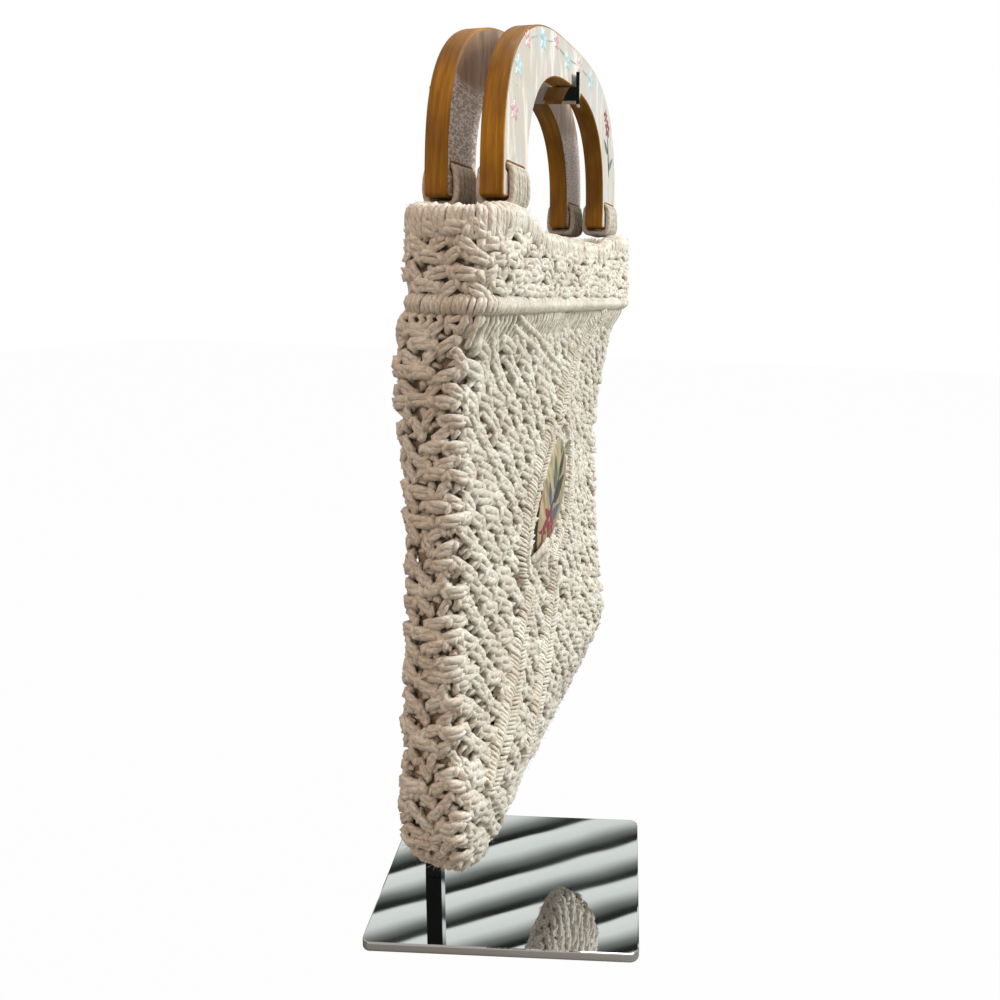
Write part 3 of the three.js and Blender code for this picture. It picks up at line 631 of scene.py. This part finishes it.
def knot_field_tree():
    """Geometry nodes: rows of knots, every second row moved by half a pitch, each a little strayed."""
    tree = bpy.data.node_groups.new("knot_field", "GeometryNodeTree")
    face = tree.interface
    for kind, name in (("Object", "Knot"), ("Int", "Columns"), ("Int", "Rows"), ("Float", "Pitch"),
                       ("Float", "Row Rise"), ("Float", "Stray"), ("Float", "Turn"), ("Float", "Grow"),
                       ("Int", "Seed"), ("Material", "Cord")):
        face.new_socket(name, in_out="INPUT", socket_type="NodeSocket" + kind)
    face.new_socket("Geometry", in_out="OUTPUT", socket_type="NodeSocketGeometry")
    start = add(tree, "NodeGroupInput").outputs
    count = add(tree, "ShaderNodeMath", {0: start["Columns"], 1: start["Rows"]}, operation="MULTIPLY")
    index = add(tree, "GeometryNodeInputIndex").outputs[0]
    ratio = add(tree, "ShaderNodeMath", {0: index, 1: start["Columns"]}, operation="DIVIDE")
    row = add(tree, "ShaderNodeMath", {0: ratio.outputs[0]}, operation="FLOOR")
    column = add(tree, "ShaderNodeMath", {0: index, 1: start["Columns"]}, operation="MODULO")
    odd = add(tree, "ShaderNodeMath", {0: row.outputs[0], 1: 2.0}, operation="MODULO")
    shifted = add(tree, "ShaderNodeMath", {0: odd.outputs[0], 1: 0.5, 2: column.outputs[0]},
                  operation="MULTIPLY_ADD")
    x = add(tree, "ShaderNodeMath", {0: shifted.outputs[0], 1: start["Pitch"]}, operation="MULTIPLY")
    y = add(tree, "ShaderNodeMath", {0: row.outputs[0], 1: start["Row Rise"]}, operation="MULTIPLY")
    place = add(tree, "ShaderNodeCombineXYZ", {0: x.outputs[0], 1: y.outputs[0]})
    stray = add(tree, "FunctionNodeRandomValue", {0: (-1, -1, -0.5), 1: (1, 1, 0.5), "Seed": start["Seed"]},
                data_type="FLOAT_VECTOR")
    strayed = add(tree, "ShaderNodeVectorMath", {0: stray.outputs[0], 3: start["Stray"]}, operation="SCALE")
    spot = add(tree, "ShaderNodeVectorMath", {0: place.outputs[0], 1: strayed.outputs[0]}, operation="ADD")
    points = add(tree, "GeometryNodePoints", {"Count": count.outputs[0], "Position": spot.outputs[0]})
    turn = add(tree, "FunctionNodeRandomValue", {2: -1.0, 3: 1.0, "Seed": start["Seed"]}, data_type="FLOAT")
    turned = add(tree, "ShaderNodeMath", {0: turn.outputs[1], 1: start["Turn"]}, operation="MULTIPLY")
    angle = add(tree, "ShaderNodeCombineXYZ", {2: turned.outputs[0]})
    grow = add(tree, "FunctionNodeRandomValue", {2: -1.0, 3: 1.0, "Seed": start["Seed"]}, data_type="FLOAT")
    grown = add(tree, "ShaderNodeMath", {0: grow.outputs[1], 1: start["Grow"], 2: 1.0}, operation="MULTIPLY_ADD")
    knot = add(tree, "GeometryNodeObjectInfo", {"Object": start["Knot"]})
    tied = add(tree, "GeometryNodeInstanceOnPoints", {
        "Points": points.outputs[0], "Instance": knot.outputs["Geometry"], "Rotation": angle.outputs[0],
        "Scale": grown.outputs[0]})
    real = add(tree, "GeometryNodeRealizeInstances", {0: tied.outputs[0]})
    corded = add(tree, "GeometryNodeSetMaterial", {"Geometry": real.outputs[0], "Material": start["Cord"]})
    add(tree, "NodeGroupOutput", {0: corded.outputs[0]})
    return tree


knot_rows = knot_field_tree()
HAND_STRAY = 0.28


def tie_field(knot, columns, rows, pitch, rise, stray, turn, grow, seed):
    """Runs the knot rows and returns every knot's points, in millimetres, as knots by points by 3."""
    verts, faces, uv = knot
    pattern = finish_piece("one_knot", verts, faces, [cream_cotton], uv)
    holder = bpy.data.objects.new("knots", bpy.data.meshes.new("knots"))
    bpy.context.scene.collection.objects.link(holder)
    field = holder.modifiers.new("rows", "NODES")
    field.node_group = knot_rows
    values = {"Knot": pattern, "Columns": columns, "Rows": rows, "Pitch": pitch, "Row Rise": rise, "Stray": stray,
              "Turn": turn, "Grow": grow, "Seed": seed, "Cord": cream_cotton}
    for item in knot_rows.interface.items_tree:
        if item.in_out == "INPUT":
            field[item.identifier] = values[item.name]
    mesh = bpy.data.meshes.new_from_object(holder.evaluated_get(bpy.context.evaluated_depsgraph_get()))
    points = np.empty(len(mesh.vertices) * 3)
    mesh.vertices.foreach_get("co", points)
    bpy.data.objects.remove(holder)
    bpy.data.objects.remove(pattern)
    bpy.data.meshes.remove(mesh)
    return points.reshape(columns * rows, len(verts), 3)


def knotted(name, knot, knots, surface, keep, replaced, both_hands=False):
    """Lays the kept knots on a surface as one piece of fabric, strayed in each point by HAND_STRAY in mm.

    both_hands ties every second knot the other way."""
    _, faces, uv = knot
    middles = knots.mean(1)
    left = (np.arange(len(knots)) % 2 == 1) & both_hands
    knots = knots.copy()
    knots[left, :, 0] = 2 * middles[left, :1] - knots[left, :, 0]
    inside = keep(middles[:, 0], middles[:, 1])
    kept, left = knots[inside], left[inside]
    n = knots.shape[1]
    laid = surface(kept[..., 0].ravel(), kept[..., 1].ravel(), kept[..., 2].ravel())
    laid += np.random.default_rng(9).normal(0, HAND_STRAY, laid.shape)
    all_faces = [tuple(i + k * n for i in (f[::-1] if turned else f))
                 for k, turned in enumerate(left) for f in faces]
    turned_uv = uv.reshape(-1, 4, 2)[:, ::-1].reshape(-1, 2)
    all_uv = np.concatenate([turned_uv if turned else uv for turned in left])
    return cotton_piece(name, hang(laid), all_faces, all_uv, replaced)


front_knot = square_knot(2.35, 0.60, 0.0)
field = tie_field(front_knot, columns=18, rows=36, pitch=20.0, rise=9.9, stray=1.5, turn=0.3, grow=0.12, seed=3)
field[..., 0] -= 17.5 * 10
field[..., 1] += BODY_BOTTOM + 2
in_panel = lambda u, v: (inside_edge(u, v) > 9.0) & (v < BODY_TOP - 13)
knotted("front_knots", front_knot, field, panel(-1), in_panel, ["bag_body"])
knotted("back_knots", front_knot, field, panel(1), in_panel, ["bag_body"])
end_knot = square_knot(1.95, 0.34, 1.1, wide=0.68, high=0.64)
END_ROWS, END_RISE = 118, 8.3
field = tie_field(end_knot, columns=5, rows=END_ROWS, pitch=14.4, rise=END_RISE, stray=1.8, turn=0.6, grow=0.2,
                  seed=5)
field[..., 0] -= 32.4
field[..., 1] *= -1
field[..., 1] += END_ROWS * END_RISE
field[..., 0] *= -1
knotted("end_knots", end_knot, field, gusset,
        lambda s, t: (np.abs(s) < 25) & (t > 4) & (t < outline_at(0.0)[4] - 4), ["bag_body"], both_hands=True)


# The inner side of the fabric: the backs of the knots, seen in the gaps and from above, closed at the foot.
def ring_at(z, inset, count=120):
    """The bag's outline at a height, seen from above, as points run anticlockwise."""
    front, back = float(reach(z, 1)) - inset, float(reach(z, 2)) - inset
    rise = min(max(z - BODY_BOTTOM, 0.0), CORNER)
    half = BAG_HALF - 2 - (CORNER - math.sqrt(CORNER ** 2 - (CORNER - rise) ** 2)) - inset
    return rounded_ring(half, front, back, max(2.0, 10 - inset), count)


def rounded_ring(half, front, back, r, count):
    r = min(r, (front + back) / 2 - 0.1)
    wide, deep, bend = 2 * (half - r), front + back - 2 * r, r * math.pi / 2
    marks = np.cumsum([0, wide, bend, deep, bend, wide, bend, deep, bend])
    t = np.linspace(0, marks[-1], count, endpoint=False) if np.isscalar(count) else np.asarray(count) % marks[-1]
    leg = np.clip(np.searchsorted(marks, t, side="right") - 1, 0, 7)
    s = t - marks[leg]
    cx = np.choose(leg // 2, [half - r, half - r, -half + r, -half + r])
    cy = np.choose(leg // 2, [-front + r, back - r, back - r, -front + r])
    a0 = (leg // 2 - 1) * math.pi / 2
    a = a0 + np.where(leg % 2 == 1, s / r, 0)
    nx, ny = np.cos(a), np.sin(a)
    line = leg % 2 == 0
    straight_x = np.choose(leg // 2, [-half + r + s, half + 0 * s, half - r - s, -half + 0 * s])
    straight_y = np.choose(leg // 2, [-front + 0 * s, -front + r + s, back + 0 * s, back - r - s])
    x, y = np.where(line, straight_x, cx + r * nx), np.where(line, straight_y, cy + r * ny)
    return np.stack([x, y, nx, ny], -1), marks[-1]


def ring_faces(rings, around, closed=False):
    """Quads between rings of points; closed also joins the last ring to the first."""
    return [(i * around + j, i * around + (j + 1) % around, (i + 1) % rings * around + (j + 1) % around,
             (i + 1) % rings * around + j) for i in range(rings if closed else rings - 1) for j in range(around)]


heights = np.concatenate([BODY_BOTTOM + 3 + 60 * (1 - np.cos(np.linspace(0, 1.5, 14))),
                          np.linspace(BODY_BOTTOM + 64, BODY_TOP + 6, 40)])
rows = [[(x, y + slack(x, z) * (0.7 - 0.3 * np.sign(y)), z) for x, y, _, _ in ring_at(z, inset)[0]]
        for zs, inset in ((heights, 5.2), (heights[::-1][:-1], 6.6)) for z in zs]
around = len(rows[0])
verts = [p for row in rows for p in row]
faces = ring_faces(len(rows), around)
faces.append(tuple(range(around))[::-1])
faces.append(tuple((len(rows) - 1) * around + j for j in range(around)))


def knot_backs(name):
    """The backs of the knots: short crossing cords, painted darker than the face and darkest between the bumps,
    as painted shade.
    """
    material, tree = start_material(name)
    place = add(tree, "ShaderNodeTexCoord").outputs["Object"]
    cells = add(tree, "ShaderNodeTexVoronoi", {"Vector": place, "Scale": 210.0}, feature="SMOOTH_F1")
    fuzz = add(tree, "ShaderNodeTexNoise", {"Vector": place, "Scale": 900.0, "Detail": 3.0})
    height = add(tree, "ShaderNodeMath", {0: cells.outputs["Distance"], 1: -1.0, 2: fuzz.outputs["Fac"]},
                 operation="MULTIPLY_ADD")
    relief = add(tree, "ShaderNodeBump", {"Height": height.outputs[0], "Strength": 1.0, "Distance": 0.002})
    # Painted shade: the colour darkens from each cell's middle to its edge, and the whole is darker than the
    # face's cotton.
    tint = add(tree, "ShaderNodeMix", {0: cells.outputs["Distance"], 6: linear("c9b7a2"), 7: linear("94806c")},
               data_type="RGBA")
    cloth = add(tree, "ShaderNodeBsdfPrincipled", {
        "Base Color": tint.outputs[2], "Roughness": 0.95, "Sheen Weight": 0.2, "Normal": relief.outputs[0]})
    add(tree, "ShaderNodeOutputMaterial", {"Surface": cloth.outputs[0]})
    return material


shell_uv = [(0.0, 0.0)] * sum(len(f) for f in faces)
cotton_piece("knot_backs", hang(verts), faces, shell_uv, ["bag_body"], knot_backs("cotton_knot_backs_painted_shade"))


# The mouth: a rim of cords wrapped over the edge, a band of square knots under it, and a thick roll of hitches
# all round. The edge dips in the middle of both sides and is drawn up where the handles hang.
MOUTH_TOP, MOUTH_DIP, DIP_HALF, DIP_SLOPE = 527.9, 12.0, 60.0, 62.0
RIDGE_TOP, RIDGE_HEIGHT = 475.3, 9.5
FRONT_REACH, BACK_REACH, MOUTH_CORNER = BAG_DEPTH / 2 + 4, BAG_DEPTH / 2 - 4, 16


def mouth_edge(x):
    lift = np.clip((np.abs(x) - DIP_HALF) / DIP_SLOPE, 0, 1)
    return MOUTH_TOP - MOUTH_DIP * (1 - lift * lift * (3 - 2 * lift)) - 3.5 * np.clip((-x - 145) / 27, 0, 1)


def mouth_at(t):
    points, _ = rounded_ring(BAG_HALF, FRONT_REACH, BACK_REACH, MOUTH_CORNER, t)
    return points.T


mouth_length = rounded_ring(BAG_HALF, FRONT_REACH, BACK_REACH, MOUTH_CORNER, 8)[1]


def wrapped(section, pitch, slant, stray):
    """Cords wound over a roll all round the mouth: the section gives steps outward and heights."""
    paths = []
    for i in range(int(mouth_length / pitch)):
        t = i * mouth_length / int(mouth_length / pitch) + chance.uniform(-stray, stray)
        x, _, _, _ = mouth_at([t])
        steps = section(x[0])
        paths.append(np.array([
            (lambda q, w=w, z=z: (q[0][0] + q[2][0] * w, q[1][0] + q[3][0] * w, z))(mouth_at([t + slant * k]))
            for k, (w, z) in enumerate(steps)]))
    return paths


def rim_section(x):
    edge = float(mouth_edge(x)) + chance.uniform(-0.8, 0.8)
    foot = edge - 14.5 - 3.0 * (x < -150)
    out = chance.uniform(-0.9, 0.9)
    return [(-1.6, foot), (0.4 + out, foot + 3.5), (0.6 + out, edge - 6), (-0.4, edge - 2.2), (-3.6, edge - 0.4),
            (-7.0, edge - 1.6), (-8.6, edge - 5), (-8.4, edge - 13)]


paths = [smooth_path(p, 11) for p in wrapped(rim_section, 3.3, 0.3, 0.6)]
verts, faces, uv = strands(paths, 1.95, sides=6)
cotton_piece("rim_wraps", hang(verts), faces, uv, ["mouth_rim"])


def ridge_section(x):
    middle = RIDGE_TOP - RIDGE_HEIGHT / 2 + chance.uniform(-0.3, 0.3)
    return [(-3.2 + 4.8 * math.cos(a), middle + 4.5 * math.sin(a)) for a in np.linspace(-2.5, 2.5, 9)]


verts, faces, uv = strands(wrapped(ridge_section, 3.1, 0.75, 0.5), 1.7, sides=6)
cotton_piece("ridge_hitches", hang(verts), faces, uv, ["lower_ridge"])


def band_surface(t, z, w):
    x, y, nx, ny = mouth_at(t)
    swell = 1.2 * np.sin(np.pi * np.clip((z - RIDGE_TOP) / 36, 0, 1))
    w = w - 4.2 + swell
    return np.stack([x + nx * w, y + ny * w, z], -1)


columns = int(mouth_length / 15)
band_knot = square_knot(2.1, 0.25, 1.0, wide=0.78, high=0.7)
field = tie_field(band_knot, columns=columns, rows=5, pitch=mouth_length / columns, rise=8.0, stray=1.3, turn=0.5,
                  grow=0.15, seed=11)
field[..., 1] += RIDGE_TOP + 4
knotted("band_knots", band_knot, field, band_surface,
        lambda t, z: z < mouth_edge(mouth_at(t)[0]) - 13, ["top_band"], both_hands=True)
wall = []
t = np.linspace(0, mouth_length, 160, endpoint=False)
x, y, nx, ny = mouth_at(t)
for inset, top in ((4.6, False), (4.6, True), (7.0, True), (7.0, False)):
    z = mouth_edge(x) - 6 if top else RIDGE_TOP - 8 + 0 * x
    wall.append(np.stack([x - nx * inset, y - ny * inset, z], -1))
faces = ring_faces(4, len(t), closed=True)
# The band's inner wall takes the same painted shade as the knot backs.
cotton_piece("band_backs", hang(np.concatenate(wall)), faces, [(0.0, 0.0)] * 4 * len(faces), ["top_band"],
             bpy.data.materials["cotton_knot_backs_painted_shade"])

# The falls. Straight cords come down from the ridge for 15 mm before the first row of knots.
falls = []
for face in (-1, 1):
    surface = panel(face)
    for u in np.concatenate([np.arange(-166, -100, 7.4), np.arange(-100, 165, 5.1)]):
        j = chance.uniform(-1.2, 1.2, 3)
        z = np.array([BODY_TOP + 3, BODY_TOP - 3, BODY_TOP - 8, BODY_TOP - 14, BODY_TOP - 19])
        falls.append(surface(u + np.array([0, j[0], j[1], j[2], j[2]]), z, np.array([2.0, 4.4, 5.0, 4.4, 2.4])))
for end in (0, 1):
    for s in np.arange(-25, 26, 4.6):
        j = chance.uniform(-2, 5, 3)
        t = np.array([-3, 2, 5, 8, 11.0])
        t = t if end == 0 else outline_at(0.0)[4] - t
        t = np.clip(t, 0.6, outline_at(0.0)[4] - 0.6)
        falls.append(gusset(s + np.array([0, j[0], j[1], j[2], j[2]]), t, np.array([1.0, 4, 5, 4, 1.0])))
verts, faces, uv = strands([smooth_path(p, 8) for p in falls], 1.9)
cotton_piece("falls", hang(verts), faces, uv, ["bag_body"])


# The ribs. Hitches tied close over a holding cord stand up from the front as two slanting rows, like a plait.
# Two ribs meet above the medallion, two frame it and two run on down.
ROUTES = {
    "rib_upper_far": [(0.52, 0.985), (0.34, 0.930), (0.17, 0.865), (0.06, 0.800), (0.01, 0.750)],
    "rib_upper_near": [(-0.62, 0.985), (-0.40, 0.950), (-0.16, 0.905), (0.06, 0.872)],
    "rib_frame_near": [(-0.05, 0.752), (-0.165, 0.685), (-0.275, 0.600), (-0.345, 0.515), (-0.32, 0.455)],
    "rib_frame_far": [(0.13, 0.752), (0.26, 0.700), (0.28, 0.610), (0.19, 0.520), (-0.02, 0.450)],
    "rib_lower_near": [(-0.27, 0.425), (-0.42, 0.360), (-0.52, 0.290), (-0.68, 0.220), (-0.82, 0.160)],
    "rib_lower_far": [(0.06, 0.425), (0.02, 0.350), (-0.08, 0.270), (-0.24, 0.190), (-0.42, 0.120)],
}
front = panel(-1)
HITCH_PITCH = 2.65
for name, route in ROUTES.items():
    line = smooth_path([(x * BAG_HALF, z * BODY_HEIGHT + BODY_BOTTOM, 0) for x, z in route], 200)[:, :2]
    run = np.concatenate([[0], np.cumsum(np.linalg.norm(np.diff(line, axis=0), axis=1))])
    hitches = []
    for i in range(int(run[-1] / HITCH_PITCH)):
        at = i * HITCH_PITCH
        share = at / run[-1]
        spot = np.array([np.interp(at, run, line[:, 0]), np.interp(at, run, line[:, 1])])
        ahead = np.array([np.interp(at + 1, run, line[:, 0]), np.interp(at + 1, run, line[:, 1])]) - spot
        ahead /= np.linalg.norm(ahead) + 1e-9
        across = np.array([-ahead[1], ahead[0]])
        swell = 0.45 + 0.55 * math.sin(math.pi * min(1, max(0, share))) ** 0.5
        for side in (-1, 1):
            narrow = (name, side) in (("rib_frame_near", 1), ("rib_frame_far", -1)) or name == "rib_upper_near"
            wide, low = (4.6 if narrow else 9.5) * swell, 1.6 if name == "rib_upper_near" else 0.0
            j = chance.uniform(-0.6, 0.6, 2)
            path = np.array([(*(spot + across * side * (1.3 + wide * k) + ahead * (j[0] - 5.5 * k)),
                              w - low + j[1])
                             for k, w in ((0, -1.0), (0.12, 6.4), (0.4, 8.6), (0.8, 7.4), (1.0, 3.4))])
            hitches.append(front(path[:, 0], path[:, 1], path[:, 2]))
    verts, faces, uv = strands([smooth_path(p, 7) for p in hitches], 1.4, sides=5)
    cotton_piece(name + "_hitches", hang(verts), faces, uv, [name])


# The medallion. A leaf sawn from thin wood, domed, painted with a small sprig of leaves and a flower of common
# form and varnished. The dabs of paint stand a hair proud of the ground.
LEAF_LENGTH, LEAF_WIDTH, LEAF_THICK, LEAF_LEAN = 94.0, 52.0, 6.5, math.radians(35)
LEAF_MIDDLE = np.array([-12.0, BODY_BOTTOM + 0.6 * BODY_HEIGHT + 6.5])
leaf_back = float(reach(LEAF_MIDDLE[1], 1)) + 0.3


def leaf_place(across, along):
    """Place and height of a spot measured from the leaf's middle, across it and along it."""
    return (LEAF_MIDDLE[0] + across * math.cos(LEAF_LEAN) + along * math.sin(LEAF_LEAN),
            LEAF_MIDDLE[1] + along * math.cos(LEAF_LEAN) - across * math.sin(LEAF_LEAN))


def leaf_point(angle, scale, out):
    c = math.cos(angle)
    bulge = -0.35 if c < 0 else 0.65
    across = LEAF_WIDTH * bulge * abs(c) ** 1.2 * (1 + 0.2 * math.sin(angle)) * scale
    along = LEAF_LENGTH / 2 * math.sin(angle) * scale
    x, z = leaf_place(across, along)
    return x, -leaf_back - LEAF_THICK * out, z


profile = [(0.985, 0.0), (1.0, 0.04), (1.0, 0.42)] + [
    (s, 0.45 + 0.55 * (1 - s ** 2.4) ** 0.62) for s in (0.985, 0.96, 0.92, 0.86, 0.78, 0.66, 0.5, 0.3)]
steps = 96
verts = [leaf_point(2 * math.pi * j / steps, s, o) for s, o in profile for j in range(steps)]
faces = ring_faces(len(profile), steps)
verts += [leaf_point(0, 0, 1.0), leaf_point(0, 0, 0.0)]
top, bottom = len(verts) - 2, len(verts) - 1
last = (len(profile) - 1) * steps
faces += [(last + j, last + (j + 1) % steps, top) for j in range(steps)]
faces += [((j + 1) % steps, j, bottom) for j in range(steps)]


def painted_wood(name, ground, second):
    """Poster paint on wood under a clear varnish: soft brush marks and a wet gloss."""
    material, tree = start_material(name)
    place = add(tree, "ShaderNodeTexCoord").outputs["Object"]
    brushed = add(tree, "ShaderNodeMapping", {"Vector": place, "Scale": (260.0, 60.0, 60.0),
                                              "Rotation": (0, 0.6, 0)})
    marks = add(tree, "ShaderNodeTexNoise", {"Vector": brushed.outputs[0], "Scale": 1.0, "Detail": 4.0})
    thin = add(tree, "ShaderNodeMapRange", {"Value": marks.outputs["Fac"], 1: 0.4, 2: 0.65, 3: 0.0, 4: 1.0})
    tint = add(tree, "ShaderNodeMix", {0: thin.outputs[0], 6: linear(ground), 7: linear(second)},
               data_type="RGBA")
    relief = add(tree, "ShaderNodeBump", {"Height": marks.outputs["Fac"], "Strength": 0.3, "Distance": 0.0003})
    paint = add(tree, "ShaderNodeBsdfPrincipled", {
        "Base Color": tint.outputs[2], "Roughness": 0.45, "Coat Weight": 0.7, "Coat Roughness": 0.18,
        "Normal": relief.outputs[0]})
    add(tree, "ShaderNodeOutputMaterial", {"Surface": paint.outputs[0]})
    return material


# The leaf's side wall is painted near-black: painted shadow of the gap at its edge.
leaf = finish_piece("medallion_leaf", hang(verts), faces, [painted_wood("straw_paint", "b8ab88", "8a7554"),
                                                      painted_wood("leaf_edge_painted_shadow", "2b2118", "40342a")])
leaf.data.polygons.foreach_set("material_index", [int(i < 3 * steps) for i in range(len(faces))])
form = bmesh.new()
form.from_mesh(leaf.data)
bmesh.ops.recalc_face_normals(form, faces=form.faces)
form.to_mesh(leaf.data)
form.free()
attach(leaf, "root")
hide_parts("medallion")


def on_leaf(across, along):
    """The domed face under a place measured from the leaf's middle."""
    low, high = np.full(across.shape, 0.02), np.full(across.shape, 1.0)
    for _ in range(24):
        scale = (low + high) / 2
        rise = np.clip(along / (LEAF_LENGTH / 2 * scale), -1, 1)
        room = LEAF_WIDTH * np.where(across < 0, 0.35, 0.65) * (1 - rise ** 2) ** 0.6 * (1 + 0.2 * rise) * scale
        outside = np.abs(across) > room
        low, high = np.where(outside, scale, low), np.where(outside, high, scale)
    out = np.interp(scale, [s for s, _ in profile[2:]][::-1], [o for _, o in profile[2:]][::-1], left=1.0)
    x, z = leaf_place(across, along)
    return x, z, leaf_back + LEAF_THICK * out


def on_board(across, up):
    """The front handle's face."""
    return across, up, HANDLE_OUT + HANDLE_THICKNESS / 2 + 0 * across


DAB_STEPS = 18


def dabs(name, ground, strokes, finishes, node):
    """Strokes of paint: each is a teardrop (place, length, width, turn, colour) laid on the ground."""
    verts, faces, tints = [], [], []
    for across, along, length, width, turn, tint in strokes:
        base = len(verts)
        for ring, lift in ((1.0, 0.04), (0.72, 0.32), (0.0, 0.40)):
            a = np.linspace(0, 2 * math.pi, DAB_STEPS if ring else 1, endpoint=False)
            u = (np.cos(a) * length / 2) * ring
            v = np.sin(a) * width / 2 * (1 - 0.45 * np.cos(a)) * ring
            c, s = math.cos(math.radians(turn)), math.sin(math.radians(turn))
            x, z, out = ground(across + u * c - v * s, along + u * s + v * c)
            verts += list(zip(x, -(out + lift), z))
        inner = base + DAB_STEPS
        for k in range(DAB_STEPS):
            h = (k + 1) % DAB_STEPS
            faces += [(base + k, base + h, inner + h, inner + k), (inner + k, inner + h, inner + DAB_STEPS)]
            tints += [tint, tint]
    obj = finish_piece(name, hang(verts), faces, finishes)
    obj.data.polygons.foreach_set("material_index", tints)
    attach(obj, "root")
    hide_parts(node)


paints = [painted_wood(name, *tints) for name, tints in (
    ("poppy_red_paint", ("93303a", "6d1a26")), ("sage_green_paint", ("5d7466", "36483d")),
    ("slate_blue_paint", ("5a6a7e", "3a475c")), ("turquoise_paint", ("9ccad0", "c0dcdc")),
    ("rose_paint", ("cf98a3", "e0bcc0")), ("leaf_black_paint", ("24251f", "3a3b30")),
    ("pale_green_paint", ("94a79b", "b4c0b4")))]


def flower(x, z, r, tint, n=5):
    """A ring of n petals."""
    return [(x + r * math.cos(a), z + r * math.sin(a), r * 1.5, r * 0.95, math.degrees(a), tint)
            for a in np.linspace(0.3, 0.3 + 2 * math.pi, n, endpoint=False)]


dabs("medallion_sprig", on_leaf,
     [(2, -2, 66, 2.6, 82, 5), (-4, 14, 26, 7.6, 118, 1), (10, 8, 32, 10.5, 62, 5), (14, -9, 24, 8.6, 48, 2),
      (7, 27, 22, 7.4, 80, 5), (1, 38, 12, 3.6, 95, 1), (-6, -4, 19, 5.6, 128, 2)]
     + flower(2, -20, 6.6, 0) + flower(13, -25, 4.8, 0) + flower(-3, -32, 3.6, 0, 4), paints, "medallion")
dabs("handle_sprigs", on_board,
     flower(-112, 612, 4.2, 3) + flower(-96, 632, 3.4, 4) + flower(-66, 640, 4.4, 3) + flower(-40, 646, 3.2, 4)
     + flower(-14, 640, 4.2, 3) + flower(16, 645, 3.6, 4) + flower(48, 641, 4.4, 3) + flower(-118, 585, 3.8, 4)
     + [(-84, 637, 16, 1.4, 20, 6), (-53, 643, 14, 1.4, 12, 6), (-27, 643, 14, 1.4, -8, 6),
        (1, 643, 16, 1.4, 4, 6), (32, 643, 14, 1.4, -4, 6), (-116, 598, 14, 1.4, 80, 6),
        (107, 594, 38, 2.6, 104, 5), (116, 588, 18, 5, 40, 1),
        (99, 600, 16, 5, 140, 1)] + flower(103, 615, 4.6, 0) + flower(96, 624, 3.4, 0), paints, "handle_front")
crossing = []
for lane in range(3):
    half, apex = 8 - 2.4 * lane, -35 - 3.8 * lane
    line = [(2 - half, -55, 2.0), (2 - 0.75 * half, -46, 7.5), (2, apex, 9.8), (2 + 0.75 * half, -46, 7.5),
            (2 + half, -55, 2.0)]
    crossing.append(smooth_path([(leaf_place(a, b)[0], -leaf_back - out + 1.0, leaf_place(a, b)[1])
                                 for a, b, out in line], 12))
verts, faces, uv = strands(crossing, 1.7, sides=8)
cotton_piece("medallion_cords", hang(verts), faces, uv, ["medallion"])

# Loose fibres. Thin ends of cotton stand off the rim and the foot, where the cord has been handled most. They
# are drawn 0.22 mm thick, coarser than real ones, and fewer.
hairs = []
for _ in range(420):
    t = chance.uniform(0, mouth_length)
    x, y, nx, ny = mouth_at([t])[:, 0]
    z = float(mouth_edge(x)) + chance.uniform(-7, 0)
    out, up, along = chance.uniform(1.2, 2.6), chance.uniform(-1, 2.4), chance.uniform(-3, 3)
    hairs.append([(x + nx * 0.8, y + ny * 0.8, z),
                  (x + nx * out * 0.6 - ny * along * 0.4, y + ny * out * 0.6, z + up),
                  (x + nx * out - ny * along, y + ny * out + nx * along, z + up * 1.2)])
for _ in range(500):
    s_, t_ = chance.uniform(-20, 20), chance.uniform(280, 620)
    w = np.array([3.0, 6.5, chance.uniform(7.0, 9.5)])
    hairs.append(gusset(s_ + np.array([0, 0.7, 1.6]) * chance.uniform(-2, 2),
                        t_ + np.array([0, 0.7, 1.6]) * chance.uniform(-2, 2), w))
verts, faces, uv = strands([smooth_path(p, 4) for p in hairs], 0.11, sides=3)
cotton_piece("loose_fibres", hang(verts), faces, uv, [])
